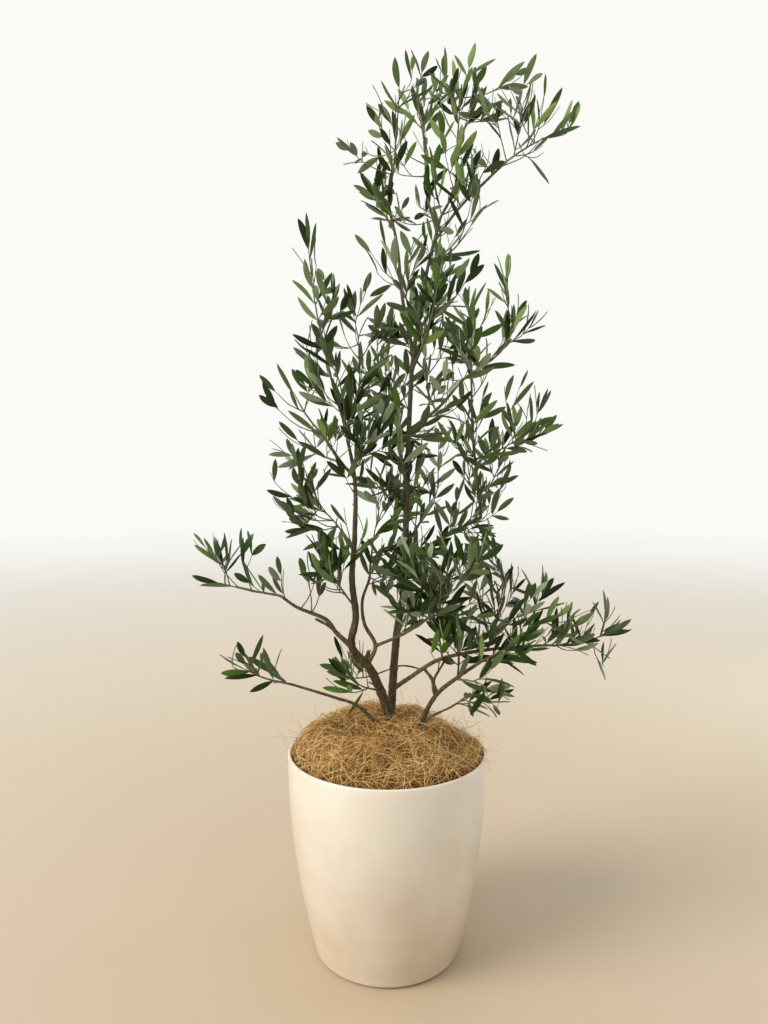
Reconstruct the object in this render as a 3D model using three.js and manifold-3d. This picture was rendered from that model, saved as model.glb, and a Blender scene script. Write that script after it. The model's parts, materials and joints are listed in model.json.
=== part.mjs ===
// Potted olive tree: a young olive with a central leader, a forked left trunk and a low side stem, in a
// round glossy planter whose soil is mulched with coconut fibre. Millimetres, +Z up. The origin is the
// centre of the planter's flat underside, +X is the side of the long low bough on the right, +Y the back.

import * as THREE from 'three';
import { mergeVertices } from 'three/addons/utils/BufferGeometryUtils.js';
import Module from 'manifold-3d';

const wasm = await Module();
wasm.setup();

// Gap between neighbouring pieces
const CLEARANCE = 0.3;

// Planter: a turned bowl that narrows in a convex line from the rim to the foot
const POT_HEIGHT = 302;
const RIM_RADIUS = 150;
const HEEL_RADIUS = 109;
const HEEL_ROUND = 9;
const STRAIGHT_RIM = 10;
const SIDE_POWER = 1.9;
const SIDE_STEPS = 7;
const HEEL_STEPS = 3;
const LIP_STEPS = 4;
const WALL = 5;
const POT_FLOOR = 8;
const POT_SEGMENTS = 32;

// Soil and the mound of coconut fibre on it
const SOIL_TOP = 292;
const SOIL_STEPS = 4;
const MOUND_HEIGHT = 68;
const MOUND_EDGE = 4;
const MOUND_POWER = 2;
const MOUND_SEGMENTS = 22;
const MOUND_RINGS = 5;
const MOUND_LUMP = 3;
const LUMP_LENGTHS = [17, 13, 29];

// Limbs
const TAPER_POWER = 1.25;
const STEP_LENGTH = 36;
const TRUNK_SIDES = 8;
const BOUGH_SIDES = 6;
const FLARE = 0.45;
const FLARE_HEIGHT = 14;

// Twigs
const STEM_FIRST_NODE = 13;
const STEM_LAST_NODE = 9;
const STEM_TIP_PAIR = 0.93;
const NODE_GAP = 23;
const TWIG_SHARE = 0.34;
const STEM_THICK = [3.6, 2.4];
const TWIG_THICK = [2.8, 2];
const TWIG_ANGLE = 52;
const TWIG_LIFT = 0.25;
const TWIG_SIDES = 3;
const TWIG_LENGTHS = [1, 1.6];
const TWIG_SHORTENING = [1.2, 0.7];
const TWIG_CHECKS = [0.35, 0.65, 1];
const PAIR_TURN = 90;
const TURN_JITTER = 34;

// Leaves: fewer than on the plant and larger. Lengths and widths vary by the shares in their spreads.
const LEAF_LENGTH = 62;
const LEAF_WIDTH = 18;
const LEAF_THICKNESS = 2;
const LENGTH_SPREAD = [0.82, 1.18];
const WIDTH_SPREAD = [0.88, 1.12];
const LEAF_ARCH = 0.05;
const LEAF_ANGLE = 40;
const TIP_LEAF_ANGLE = 13;
const LEAF_LIFT = 0.3;
const LEAF_SINK = 0.4;
const LONG_TWIG = 40;
const PAIRS_ON_LONG = [0.38, 0.74];
const PAIR_ON_SHORT = [0.55];
const FACING_LEAN = [45, 100];

// Each mass is grown by several seeds, and the growth nearest to this number of leaves a millimetre stays
const LEAVES_PER_MM = 0.107;
const GROWTHS = 14;

// Points closer than these are one point
const MERGE = 1e-4;
const WELD = 0.02;

const UP = new THREE.Vector3(0, 0, 1);

// Each limb is a chain of straight runs, [length, lean from upright, heading from +X towards +Y], smoothed
// into one curve. A trunk stands on the soil at its foot, a bough leaves its limb at a distance along it,
// and a limb with "after" goes on from another's tip. thick is the diameter at the foot and at the tip.
const LIMBS = [
  {
    name: 'trunk_leader',
    foot: [3, 10],
    runs: [
      [115, 3, 350], [75, 5, 340], [65, 9, 350], [105, 2, 325],
      [170, 2, 335], [65, 4, 335], [130, 9, 355], [75, 14, 0],
    ],
    thick: [14, 4.4],
  },
  {
    name: 'trunk_left',
    foot: [13, -14],
    runs: [
      [68, 9, 180], [48, 20, 183], [28, 26, 183], [42, 39, 185], [45, 8, 340],
      [55, 6, 200], [65, 4, 335], [85, 1, 280], [80, 11, 195],
    ],
    thick: [17, 4.4],
  },
  {
    name: 'stem_right',
    foot: [43, -46],
    runs: [[68, 7, 345], [44, 26, 350], [42, 48, 350], [32, 53, 345]],
    thick: [9, 5],
  },
  {
    name: 'bough_low_left',
    on: 'trunk_left', at: 22,
    runs: [[84, 42, 194], [35, 67, 190], [65, 69, 195]],
    thick: [6, 3.6],
  },
  {
    name: 'bough_left_long',
    on: 'trunk_left', at: 186,
    runs: [[33, 46, 190], [23, 36, 195], [50, 64, 195], [24, 53, 198]],
    thick: [8, 4],
  },
  {
    name: 'bough_fork_mid',
    on: 'trunk_left', at: 150,
    runs: [[31, 23, 10], [36, 29, 160], [34, 11, 120], [30, 23, 40]],
    thick: [7, 4],
  },
  {
    name: 'bough_cross_right',
    on: 'bough_fork_mid', at: 31,
    runs: [[40, 65, 325], [25, 62, 320], [35, 55, 330]],
    thick: [5, 3.6],
  },
  {
    name: 'bough_low_right',
    on: 'trunk_leader', at: 98,
    runs: [[40, 53, 335], [52, 56, 340], [95, 77, 350], [48, 85, 355]],
    thick: [7, 4],
  },
  {
    name: 'bough_right_riser_low',
    on: 'trunk_leader', at: 300,
    runs: [[64, 64, 20], [67, 64, 15]],
    thick: [6, 5],
  },
  {
    name: 'bough_right_riser',
    after: 'bough_right_riser_low',
    runs: [[59, 5, 155], [56, 7, 195]],
    thick: [5, 4],
  },
  {
    name: 'bough_right_upper',
    on: 'trunk_leader', at: 492,
    runs: [[58, 57, 330], [48, 46, 325]],
    thick: [5.5, 4],
  },
  {
    name: 'bough_left_mid',
    on: 'trunk_left', at: 440,
    runs: [[28, 48, 215], [43, 37, 210]],
    thick: [5, 3.8],
  },
  {
    name: 'bough_upper_left',
    on: 'trunk_leader', at: 604,
    runs: [[88, 15, 135], [77, 7, 140], [60, 12, 165]],
    thick: [6, 3.8],
  },
  { name: 'bough_top_left', on: 'trunk_leader', at: 785, runs: [[54, 30, 112]], thick: [4.4, 3.8] },
  {
    name: 'bough_top_right',
    on: 'trunk_leader', at: 770,
    runs: [[60, 40, 342], [48, 50, 340]],
    thick: [4.4, 3.8],
  },
  { name: 'bough_back_low', on: 'trunk_leader', at: 318, runs: [[67, 66, 70]], thick: [5.5, 4] },
  { name: 'bough_back_mid', on: 'trunk_leader', at: 471, runs: [[75, 55, 105]], thick: [5.5, 4] },
  { name: 'bough_back_high', on: 'trunk_leader', at: 626, runs: [[64, 52, 70]], thick: [5, 4] },
  { name: 'bough_front_mid', on: 'trunk_leader', at: 406, runs: [[52, 56, 260]], thick: [5, 4] },
  { name: 'bough_front_high', on: 'trunk_leader', at: 581, runs: [[48, 62, 285]], thick: [5, 4] },
];

// Each mass of foliage is a stem of runs like a limb's, with side twigs about as long as "reach". Its name
// follows "foliage_".
const MASSES = [
  {
    name: 'top',
    after: 'trunk_leader',
    runs: [[50, 26, 10], [60, 6, 60], [55, 4, 10], [36, 5, 0]],
    reach: 30,
  },
  {
    name: 'top_left',
    after: 'bough_top_left',
    runs: [[52, 20, 100], [50, 12, 100], [42, 12, 140]],
    reach: 28,
  },
  {
    name: 'top_right',
    after: 'bough_top_right',
    runs: [[40, 55, 335], [34, 62, 345], [28, 66, 350]],
    reach: 36,
  },
  {
    name: 'upper_left',
    after: 'bough_upper_left',
    runs: [[70, 9, 320], [55, 9, 300], [38, 5, 320]],
    reach: 26,
  },
  {
    name: 'upper_left_side',
    on: 'bough_upper_left', at: 190,
    runs: [[40, 34, 140], [36, 34, 155]],
    reach: 28,
  },
  { name: 'leader_right', on: 'trunk_leader', at: 735, runs: [[42, 60, 350], [38, 40, 345]], reach: 30 },
  { name: 'leader_left', on: 'trunk_leader', at: 645, runs: [[56, 38, 232], [48, 26, 215]], reach: 30 },
  {
    name: 'left_top',
    after: 'trunk_left',
    runs: [[45, 17, 200], [64, 14, 195], [62, 12, 200], [72, 7, 200]],
    reach: 27,
  },
  {
    name: 'left_upper',
    on: 'trunk_left', at: 500,
    runs: [[84, 24, 60], [72, 16, 95], [40, 16, 130]],
    reach: 28,
  },
  { name: 'left_face', on: 'trunk_left', at: 508, runs: [[58, 42, 268], [46, 22, 235]], reach: 28 },
  { name: 'left_mid', after: 'bough_left_mid', runs: [[38, 40, 195], [34, 30, 185]], reach: 28 },
  { name: 'left_mid_low', on: 'bough_left_mid', at: 30, runs: [[60, 74, 140], [34, 60, 145]], reach: 30 },
  { name: 'left_waist', on: 'trunk_left', at: 337, runs: [[62, 50, 138], [40, 56, 145]], reach: 32 },
  { name: 'left_clump', on: 'trunk_left', at: 245, runs: [[46, 38, 220], [46, 30, 205]], reach: 30 },
  { name: 'left_long', after: 'bough_left_long', runs: [[46, 78, 190], [44, 74, 190]], reach: 20 },
  { name: 'low_left_tip', after: 'bough_low_left', runs: [[42, 74, 190], [30, 62, 190]], reach: 20 },
  { name: 'low_left_inner', on: 'trunk_left', at: 105, runs: [[48, 67, 222], [26, 50, 215]], reach: 22 },
  {
    name: 'fork_mid',
    after: 'bough_fork_mid',
    runs: [[24, 17, 75], [34, 12, 60], [30, 14, 40]],
    reach: 36,
  },
  { name: 'centre_left', on: 'trunk_left', at: 460, runs: [[56, 46, 0], [50, 22, 20]], reach: 32 },
  { name: 'cross_right', after: 'bough_cross_right', runs: [[34, 46, 318], [44, 20, 300]], reach: 38 },
  {
    name: 'right_top',
    after: 'bough_right_riser',
    runs: [[54, 4, 230], [54, 4, 245], [58, 5, 250], [36, 6, 200]],
    reach: 28,
  },
  {
    name: 'right_upper',
    after: 'bough_right_upper',
    runs: [[60, 58, 336], [28, 38, 345], [28, 20, 345]],
    reach: 28,
  },
  { name: 'right_inner', on: 'bough_right_upper', at: 52, runs: [[46, 40, 110], [50, 20, 100]], reach: 36 },
  { name: 'right_mid', on: 'bough_right_riser', at: 96, runs: [[38, 70, 335], [34, 62, 345]], reach: 30 },
  { name: 'right_lower', on: 'bough_right_riser', at: 42, runs: [[36, 66, 50], [32, 40, 45]], reach: 36 },
  { name: 'right_waist', on: 'bough_low_right', at: 165, runs: [[62, 18, 330], [56, 14, 20]], reach: 38 },
  { name: 'low_right_near', on: 'bough_low_right', at: 97, runs: [[56, 44, 95], [50, 22, 80]], reach: 36 },
  {
    name: 'low_right_mid',
    on: 'bough_low_right', at: 216,
    runs: [[48, 18, 330], [36, 14, 345]],
    reach: 34,
  },
  { name: 'low_right_far', after: 'bough_low_right', runs: [[54, 86, 355], [38, 70, 350]], reach: 22 },
  { name: 'stem_right', after: 'stem_right', runs: [[38, 58, 335], [32, 60, 340]], reach: 36 },
  { name: 'lowest_right', on: 'stem_right', at: 150, runs: [[34, 86, 318], [20, 105, 325]], reach: 22 },
  { name: 'back_low', after: 'bough_back_low', runs: [[60, 58, 60], [50, 30, 55]], reach: 38 },
  { name: 'back_mid', after: 'bough_back_mid', runs: [[62, 48, 115], [50, 24, 110]], reach: 42 },
  { name: 'back_high', after: 'bough_back_high', runs: [[60, 42, 60], [48, 20, 60]], reach: 38 },
  { name: 'front_mid', after: 'bough_front_mid', runs: [[50, 42, 262], [44, 22, 270]], reach: 44 },
  { name: 'front_high', after: 'bough_front_high', runs: [[46, 44, 290], [40, 18, 305]], reach: 38 },
];

// Solids

function solidOf(geometry) {
  geometry.deleteAttribute('normal');
  geometry.deleteAttribute('uv');
  const merged = mergeVertices(geometry, MERGE);
  const vertProperties = new Float32Array(merged.getAttribute('position').array);
  const triVerts = new Uint32Array(merged.getIndex().array);
  return new wasm.Manifold(new wasm.Mesh({ numProp: 3, vertProperties, triVerts }));
}

// The solid welded into a clean shell. A scrap that a cut parts from it is dropped.
function geometryOf(solid) {
  const bodies = solid.simplify(WELD).decompose();
  const largest = bodies.reduce((best, body) => (body.volume() > best.volume() ? body : best));
  const { vertProperties, triVerts } = largest.getMesh();
  const geometry = new THREE.BufferGeometry();
  geometry.setAttribute('position', new THREE.BufferAttribute(new Float32Array(vertProperties), 3));
  geometry.setIndex(new THREE.BufferAttribute(new Uint32Array(triVerts), 1));
  geometry.computeVertexNormals();
  return geometry;
}

function seededRandom(seed) {
  const range = 4294967296;
  let state = (seed * 2654435761) % range;
  return () => {
    state = (state * 1664525 + 1013904223) % range;
    return state / range;
  };
}

// Curves and limbs

function direction(lean, heading) {
  const polar = THREE.MathUtils.degToRad(lean);
  const turn = THREE.MathUtils.degToRad(heading);
  const level = Math.sin(polar);
  return new THREE.Vector3(level * Math.cos(turn), level * Math.sin(turn), Math.cos(polar));
}

function chain(points, runs) {
  const path = [...points];
  for (const [length, lean, heading] of runs) {
    path.push(path.at(-1).clone().addScaledVector(direction(lean, heading), length));
  }
  return new THREE.CatmullRomCurve3(path, false, 'centripetal');
}

function tapered([foot, tip], flare = 0) {
  return (t, length) => {
    const radius = (tip + (foot - tip) * (1 - t) ** TAPER_POWER) / 2;
    return radius * (1 + flare * Math.exp((-t * length) / FLARE_HEIGHT));
  };
}

// A cylinder bent along a curve. A level foot lies flat on the soil.
function limbGeometry(curve, radiusAt, { sides, steps, grown = 0, levelFoot = false }) {
  const geometry = new THREE.CylinderGeometry(1, 1, 1, sides, steps);
  const { normals, binormals } = curve.computeFrenetFrames(steps, false);
  const position = geometry.getAttribute('position');
  const length = curve.getLength();
  const vertex = new THREE.Vector3();
  for (let i = 0; i < position.count; i += 1) {
    vertex.fromBufferAttribute(position, i);
    const step = Math.round((vertex.y + 0.5) * steps);
    const radius = radiusAt(step / steps, length) + grown;
    const point = curve.getPointAt(step / steps);
    point.addScaledVector(binormals[step], vertex.x * radius);
    point.addScaledVector(normals[step], vertex.z * radius);
    if (levelFoot && step === 0) {
      point.z = SOIL_TOP + CLEARANCE - grown;
    }
    position.setXYZ(i, point.x, point.y, point.z);
  }
  return geometry;
}

// Where a limb or stem starts: on the soil, inside the limb that it leaves, or just past a limb's tip
function rootPoints(row, limbs) {
  if (row.foot) {
    return [new THREE.Vector3(row.foot[0], row.foot[1], SOIL_TOP + CLEARANCE)];
  }
  if (row.on) {
    const carrier = limbs.get(row.on);
    return [carrier.curve.getPointAt(row.at / carrier.length)];
  }
  const carrier = limbs.get(row.after);
  const tip = carrier.curve.getPointAt(1);
  const heading = carrier.curve.getTangentAt(1);
  const lead = CLEARANCE + carrier.radiusAt(1, carrier.length) * 2;
  return [CLEARANCE, lead].map((gap) => tip.clone().addScaledVector(heading, gap));
}

function growLimb(row, limbs) {
  const curve = chain(rootPoints(row, limbs), row.runs);
  const length = curve.getLength();
  const radiusAt = tapered(row.thick, row.foot ? FLARE : 0);
  const shape = {
    sides: row.foot ? TRUNK_SIDES : BOUGH_SIDES,
    steps: Math.ceil(length / STEP_LENGTH),
    levelFoot: Boolean(row.foot),
  };
  const grown = solidOf(limbGeometry(curve, radiusAt, { ...shape, grown: CLEARANCE }));
  let solid = solidOf(limbGeometry(curve, radiusAt, shape));
  if (row.on) {
    solid = solid.subtract(limbs.get(row.on).grown);
  }
  const spine = curve.getSpacedPoints(shape.steps * 2);
  const radii = spine.map((_, i) => radiusAt(i / (spine.length - 1), length));
  return { name: row.name, curve, length, radiusAt, grown, solid, spine, radii };
}

// Distances that keep each mass to its own space

// The least distance from a point to a spine, less the spine's radius there if it has one
function distanceToSpine(point, spine, radii) {
  const closest = new THREE.Vector3();
  const piece = new THREE.Line3();
  let nearest = Infinity;
  for (let i = 1; i < spine.length; i += 1) {
    piece.set(spine[i - 1], spine[i]).closestPointToPoint(point, true, closest);
    nearest = Math.min(nearest, closest.distanceTo(point) - (radii ? radii[i - 1] : 0));
  }
  return nearest;
}

function moundLevel(radius) {
  const share = Math.min(1, radius / (RIM_RADIUS - WALL));
  return SOIL_TOP + MOUND_EDGE + (MOUND_HEIGHT - MOUND_EDGE) * (1 - share ** MOUND_POWER);
}

function clearOfLimbs(point, margin, limbs) {
  for (const limb of limbs.values()) {
    if (distanceToSpine(point, limb.spine, limb.radii) < margin) {
      return false;
    }
  }
  return true;
}

function clearOfMound(point, margin) {
  const radius = Math.hypot(point.x, point.y);
  return radius > RIM_RADIUS + margin || point.z > moundLevel(radius) + MOUND_LUMP + margin;
}

// True where every point, with a margin, lies nearer to this mass's stem than to any other's
function inOwnSpace(points, margin, mass, masses, limbs) {
  return points.every((point) => {
    const own = distanceToSpine(point, mass.spine);
    const taken = masses.some(
      (other) => other !== mass && distanceToSpine(point, other.spine) - own < 2 * margin,
    );
    return !taken && clearOfLimbs(point, margin, limbs) && clearOfMound(point, margin);
  });
}

// Leaves and twigs

function leafFrame({ root, along, facing }) {
  const across = new THREE.Vector3().crossVectors(facing, along).normalize();
  const normal = new THREE.Vector3().crossVectors(along, across);
  return new THREE.Matrix4().makeBasis(along, across, normal).setPosition(root);
}

// Eight faces: pointed at root and tip, widest and highest halfway
function leafGeometry(leaf) {
  const geometry = new THREE.OctahedronGeometry(1, 0);
  const position = geometry.getAttribute('position');
  for (let i = 0; i < position.count; i += 1) {
    const x = position.getX(i);
    const arch = (1 - x * x) * LEAF_ARCH * leaf.length;
    const y = (position.getY(i) * leaf.width) / 2;
    const z = (position.getZ(i) * LEAF_THICKNESS) / 2 + arch;
    position.setXYZ(i, ((x + 1) * leaf.length) / 2, y, z);
  }
  return geometry.applyMatrix4(leafFrame(leaf));
}

// Points round a leaf's outline, past the part near its root
function leafPoints(leaf) {
  const frame = leafFrame(leaf);
  const arch = LEAF_ARCH * leaf.length;
  const outline = [[0.3, 0, 0.6], [0.5, 1, 1], [0.5, -1, 1], [0.75, 0.5, 0.5], [0.75, -0.5, 0.5], [1, 0, 0]];
  return outline.map(([x, y, z]) => {
    const point = new THREE.Vector3(x * leaf.length, (y * leaf.width) / 2, z * arch);
    return point.applyMatrix4(frame);
  });
}

// A side direction that turns round a shoot, square to it
function sideways(tangent, turn) {
  const level = new THREE.Vector3().crossVectors(tangent, UP);
  if (level.lengthSq() < 1e-4) {
    level.set(1, 0, 0);
  }
  return level.normalize().applyAxisAngle(tangent, THREE.MathUtils.degToRad(turn));
}

function splayed(tangent, side, angle, lift) {
  const spread = THREE.MathUtils.degToRad(angle);
  return tangent
    .clone()
    .multiplyScalar(Math.cos(spread))
    .addScaledVector(side, Math.sin(spread))
    .addScaledVector(UP, lift)
    .normalize();
}

function makeLeaf(point, tangent, side, random, angle = LEAF_ANGLE) {
  const along = splayed(tangent, side, angle, LEAF_LIFT);
  const length = LEAF_LENGTH * THREE.MathUtils.lerp(...LENGTH_SPREAD, random());
  const width = LEAF_WIDTH * THREE.MathUtils.lerp(...WIDTH_SPREAD, random());
  const facing = direction(THREE.MathUtils.lerp(...FACING_LEAN, random()), 360 * random());
  const root = point.clone().addScaledVector(along, -LEAF_SINK);
  return { root, along, facing, length, width };
}

// An opposite pair of leaves at a share of a shoot's length
function leafPair(curve, share, turn, random) {
  const point = curve.getPointAt(share);
  const tangent = curve.getTangentAt(share);
  return [0, 180].map((half) => makeLeaf(point, tangent, sideways(tangent, turn + half), random));
}

function tipLeaf(curve, turn, random) {
  const tangent = curve.getTangentAt(1);
  const tip = curve.getPointAt(1).addScaledVector(tangent, -LEAF_SINK);
  return makeLeaf(tip, tangent, sideways(tangent, turn), random, TIP_LEAF_ANGLE);
}

function makeTwig(point, tangent, side, length) {
  const tip = point.clone().addScaledVector(splayed(tangent, side, TWIG_ANGLE, TWIG_LIFT), length);
  return new THREE.LineCurve3(point, tip);
}

// The twigs and the single leaves that spring from a mass's stem, in opposite pairs
function stemShoots(mass, random) {
  const twigs = [];
  const leaves = [];
  let turn = 360 * random();
  for (let along = STEM_FIRST_NODE; along < mass.length - STEM_LAST_NODE; along += NODE_GAP) {
    const share = along / mass.length;
    const point = mass.curve.getPointAt(share);
    const tangent = mass.curve.getTangentAt(share);
    for (const half of [0, 180]) {
      const side = sideways(tangent, turn + half);
      const spread = THREE.MathUtils.lerp(...TWIG_LENGTHS, random());
      const length = mass.reach * spread * THREE.MathUtils.lerp(...TWIG_SHORTENING, share);
      if (random() < TWIG_SHARE) {
        twigs.push({ curve: makeTwig(point, tangent, side, length), turn: turn + PAIR_TURN / 2 });
      } else {
        leaves.push(makeLeaf(point, tangent, side, random));
      }
    }
    turn += PAIR_TURN + TURN_JITTER * (random() - 0.5);
  }
  return { twigs, leaves };
}

// A stem's body is straight from step to step, and its leaves and twigs spring from that line
function startMass(row, limbs) {
  const steps = row.runs.length + 1;
  const smooth = chain(rootPoints(row, limbs), row.runs);
  const spine = smooth.getSpacedPoints(steps);
  const curve = new THREE.CurvePath();
  for (let i = 1; i < spine.length; i += 1) {
    curve.add(new THREE.LineCurve3(spine[i - 1], spine[i]));
  }
  return { ...row, smooth, curve, steps, spine, length: curve.getLength() };
}

function twigSprig({ curve, turn }, random) {
  const places = curve.getLength() > LONG_TWIG ? PAIRS_ON_LONG : PAIR_ON_SHORT;
  const pairs = places.flatMap((share, i) => leafPair(curve, share, turn + i * PAIR_TURN, random));
  return [...pairs, tipLeaf(curve, turn, random)];
}

// The twigs and leaves of one seeded growth that stay in the mass's own space
function growth(mass, seed, masses, limbs) {
  const random = seededRandom(seed);
  const { twigs, leaves } = stemShoots(mass, random);
  leaves.push(...leafPair(mass.curve, STEM_TIP_PAIR, 360 * random(), random), tipLeaf(mass.curve, 0, random));
  const leafMargin = LEAF_THICKNESS / 2 + CLEARANCE;
  const leafFits = (leaf) => inOwnSpace(leafPoints(leaf), leafMargin, mass, masses, limbs);
  const kept = { twigs: [], leaves: leaves.filter(leafFits) };
  for (const twig of twigs) {
    const points = TWIG_CHECKS.map((share) => twig.curve.getPointAt(share));
    const sprig = twigSprig(twig, random).filter(leafFits);
    if (sprig.length > 1 && inOwnSpace(points, TWIG_THICK[0] / 2 + CLEARANCE, mass, masses, limbs)) {
      kept.twigs.push(twig);
      kept.leaves.push(...sprig);
    }
  }
  return kept;
}

function bestGrowth(mass, masses, limbs) {
  const wanted = mass.length * LEAVES_PER_MM;
  const first = masses.indexOf(mass) * GROWTHS;
  const growths = Array.from({ length: GROWTHS }, (_, i) => growth(mass, first + i + 1, masses, limbs));
  const miss = ({ leaves }) => Math.abs(leaves.length - wanted);
  return growths.reduce((best, next) => (miss(next) < miss(best) ? next : best));
}

function shoot(curve, thick, steps) {
  return solidOf(limbGeometry(curve, tapered(thick), { sides: TWIG_SIDES, steps }));
}

// Stem, twigs and leaves as one body
function massSolid(mass, masses, limbs) {
  const { twigs, leaves } = bestGrowth(mass, masses, limbs);
  let solid = shoot(mass.smooth, STEM_THICK, mass.steps);
  for (const twig of twigs) {
    solid = solid.add(shoot(twig.curve, TWIG_THICK, 1));
  }
  for (const leaf of leaves) {
    solid = solid.add(solidOf(leafGeometry(leaf)));
  }
  if (mass.on) {
    solid = solid.subtract(limbs.get(mass.on).grown);
  }
  return solid;
}

// Planter, soil and mulch

function potRadius(z) {
  const share = Math.max(0, 1 - z / (POT_HEIGHT - STRAIGHT_RIM));
  return RIM_RADIUS - (RIM_RADIUS - HEEL_RADIUS) * share ** SIDE_POWER;
}

function turned(profile, segments) {
  const geometry = new THREE.LatheGeometry(profile, segments);
  return geometry.rotateX(Math.PI / 2);
}

function potSolid() {
  const profile = [new THREE.Vector2(0, 0)];
  const heel = new THREE.EllipseCurve(
    potRadius(HEEL_ROUND) - HEEL_ROUND, HEEL_ROUND, HEEL_ROUND, HEEL_ROUND, -Math.PI / 2, 0,
  );
  profile.push(...heel.getPoints(HEEL_STEPS));
  const top = POT_HEIGHT - WALL / 2;
  for (let i = 1; i <= SIDE_STEPS; i += 1) {
    const z = HEEL_ROUND + ((top - HEEL_ROUND) * i) / SIDE_STEPS;
    profile.push(new THREE.Vector2(potRadius(z), z));
  }
  const lip = new THREE.EllipseCurve(RIM_RADIUS - WALL / 2, top, WALL / 2, WALL / 2, 0, Math.PI);
  profile.push(...lip.getPoints(LIP_STEPS).slice(1));
  for (let i = 1; i <= SOIL_STEPS; i += 1) {
    const z = top - ((top - POT_FLOOR) * i) / SOIL_STEPS;
    profile.push(new THREE.Vector2(potRadius(z) - WALL, z));
  }
  profile.push(new THREE.Vector2(0, POT_FLOOR));
  return solidOf(turned(profile, POT_SEGMENTS));
}

// Inside radius of the planter's faceted wall, between the levels of its profile
function insideRadius(z) {
  const top = POT_HEIGHT - WALL / 2;
  const band = (top - POT_FLOOR) / SOIL_STEPS;
  const step = Math.min(SOIL_STEPS - 1, Math.floor((top - z) / band));
  const upper = top - band * step;
  const share = (upper - z) / band;
  return THREE.MathUtils.lerp(potRadius(upper), potRadius(upper - band), share) - WALL;
}

function soilSolid() {
  const floor = POT_FLOOR + CLEARANCE;
  const top = POT_HEIGHT - WALL / 2;
  const band = (top - POT_FLOOR) / SOIL_STEPS;
  const levels = [SOIL_TOP];
  for (let z = top - band; z > floor; z -= band) {
    levels.push(z);
  }
  levels.push(floor);
  const profile = [new THREE.Vector2(0, floor)];
  for (const z of levels.reverse()) {
    profile.push(new THREE.Vector2(insideRadius(z) - CLEARANCE, z));
  }
  profile.push(new THREE.Vector2(0, SOIL_TOP));
  return solidOf(turned(profile, POT_SEGMENTS));
}

// A low dome with seeded lumps, cut clear of every trunk that comes up through it
function mulchSolid(limbs) {
  const bottom = SOIL_TOP + CLEARANCE;
  const edge = insideRadius(bottom) * Math.cos(Math.PI / POT_SEGMENTS) - CLEARANCE * 2;
  const profile = [new THREE.Vector2(0, bottom), new THREE.Vector2(edge, bottom)];
  for (let i = 0; i <= MOUND_RINGS; i += 1) {
    const radius = edge * Math.cos((i / MOUND_RINGS) * (Math.PI / 2));
    profile.push(new THREE.Vector2(Math.max(0, i === MOUND_RINGS ? 0 : radius), moundLevel(radius)));
  }
  const [across, deep, slant] = LUMP_LENGTHS;
  const geometry = turned(profile, MOUND_SEGMENTS);
  const position = geometry.getAttribute('position');
  for (let i = 0; i < position.count; i += 1) {
    const x = position.getX(i);
    const y = position.getY(i);
    const z = position.getZ(i);
    if (z > bottom + 1 && Math.hypot(x, y) < edge - 1) {
      const lump = Math.sin(x / across + 1) * Math.cos(y / deep) + Math.sin((x - y) / slant);
      position.setZ(i, z + (MOUND_LUMP / 2) * lump);
    }
  }
  let solid = solidOf(geometry);
  for (const limb of limbs.values()) {
    if (limb.spine[0].z < moundLevel(0)) {
      solid = solid.subtract(limb.grown);
    }
  }
  return solid;
}

// Finishes

function glazedShell() {
  return new THREE.MeshStandardMaterial({ color: '#f1eee4', roughness: 0.18, metalness: 0 });
}

function darkSoil() {
  return new THREE.MeshStandardMaterial({ color: '#3d2c1f', roughness: 0.95, metalness: 0 });
}

function coconutFibre() {
  return new THREE.MeshStandardMaterial({ color: '#b08850', roughness: 0.9, metalness: 0 });
}

function trunkBark() {
  return new THREE.MeshStandardMaterial({ color: '#5a4128', roughness: 0.85, metalness: 0 });
}

function boughBark() {
  return new THREE.MeshStandardMaterial({ color: '#6b5138', roughness: 0.8, metalness: 0 });
}

function oliveLeaves() {
  return new THREE.MeshStandardMaterial({ color: '#46582f', roughness: 0.5, metalness: 0 });
}

// Assembly

function addPiece(group, name, solid, material) {
  const mesh = new THREE.Mesh(geometryOf(solid), material);
  mesh.name = name;
  group.add(mesh);
}

function buildTree() {
  const tree = new THREE.Group();
  const planter = new THREE.Group();
  const wood = new THREE.Group();
  const crown = new THREE.Group();
  tree.add(planter, wood, crown);

  const limbs = new Map();
  for (const row of LIMBS) {
    limbs.set(row.name, growLimb(row, limbs));
  }
  for (const limb of limbs.values()) {
    addPiece(wood, limb.name, limb.solid, limb.name.startsWith('bough') ? boughBark() : trunkBark());
  }

  const masses = MASSES.map((row) => startMass(row, limbs));
  for (const mass of masses) {
    addPiece(crown, `foliage_${mass.name}`, massSolid(mass, masses, limbs), oliveLeaves());
  }

  addPiece(planter, 'pot', potSolid(), glazedShell());
  addPiece(planter, 'soil', soilSolid(), darkSoil());
  addPiece(planter, 'coir_mulch', mulchSolid(limbs), coconutFibre());
  return tree;
}

export default buildTree();
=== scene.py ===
"""Potted olive tree.

A young olive with a straight leader, a forked side trunk and a low side stem, in a glossy round planter whose
soil is mulched with coconut fibre. Lengths are in millimetres until a mesh is made, which is in metres.
"""

import json
import logging
import math
from dataclasses import dataclass, field
from enum import Enum
from typing import Iterable, Optional, Sequence

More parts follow.
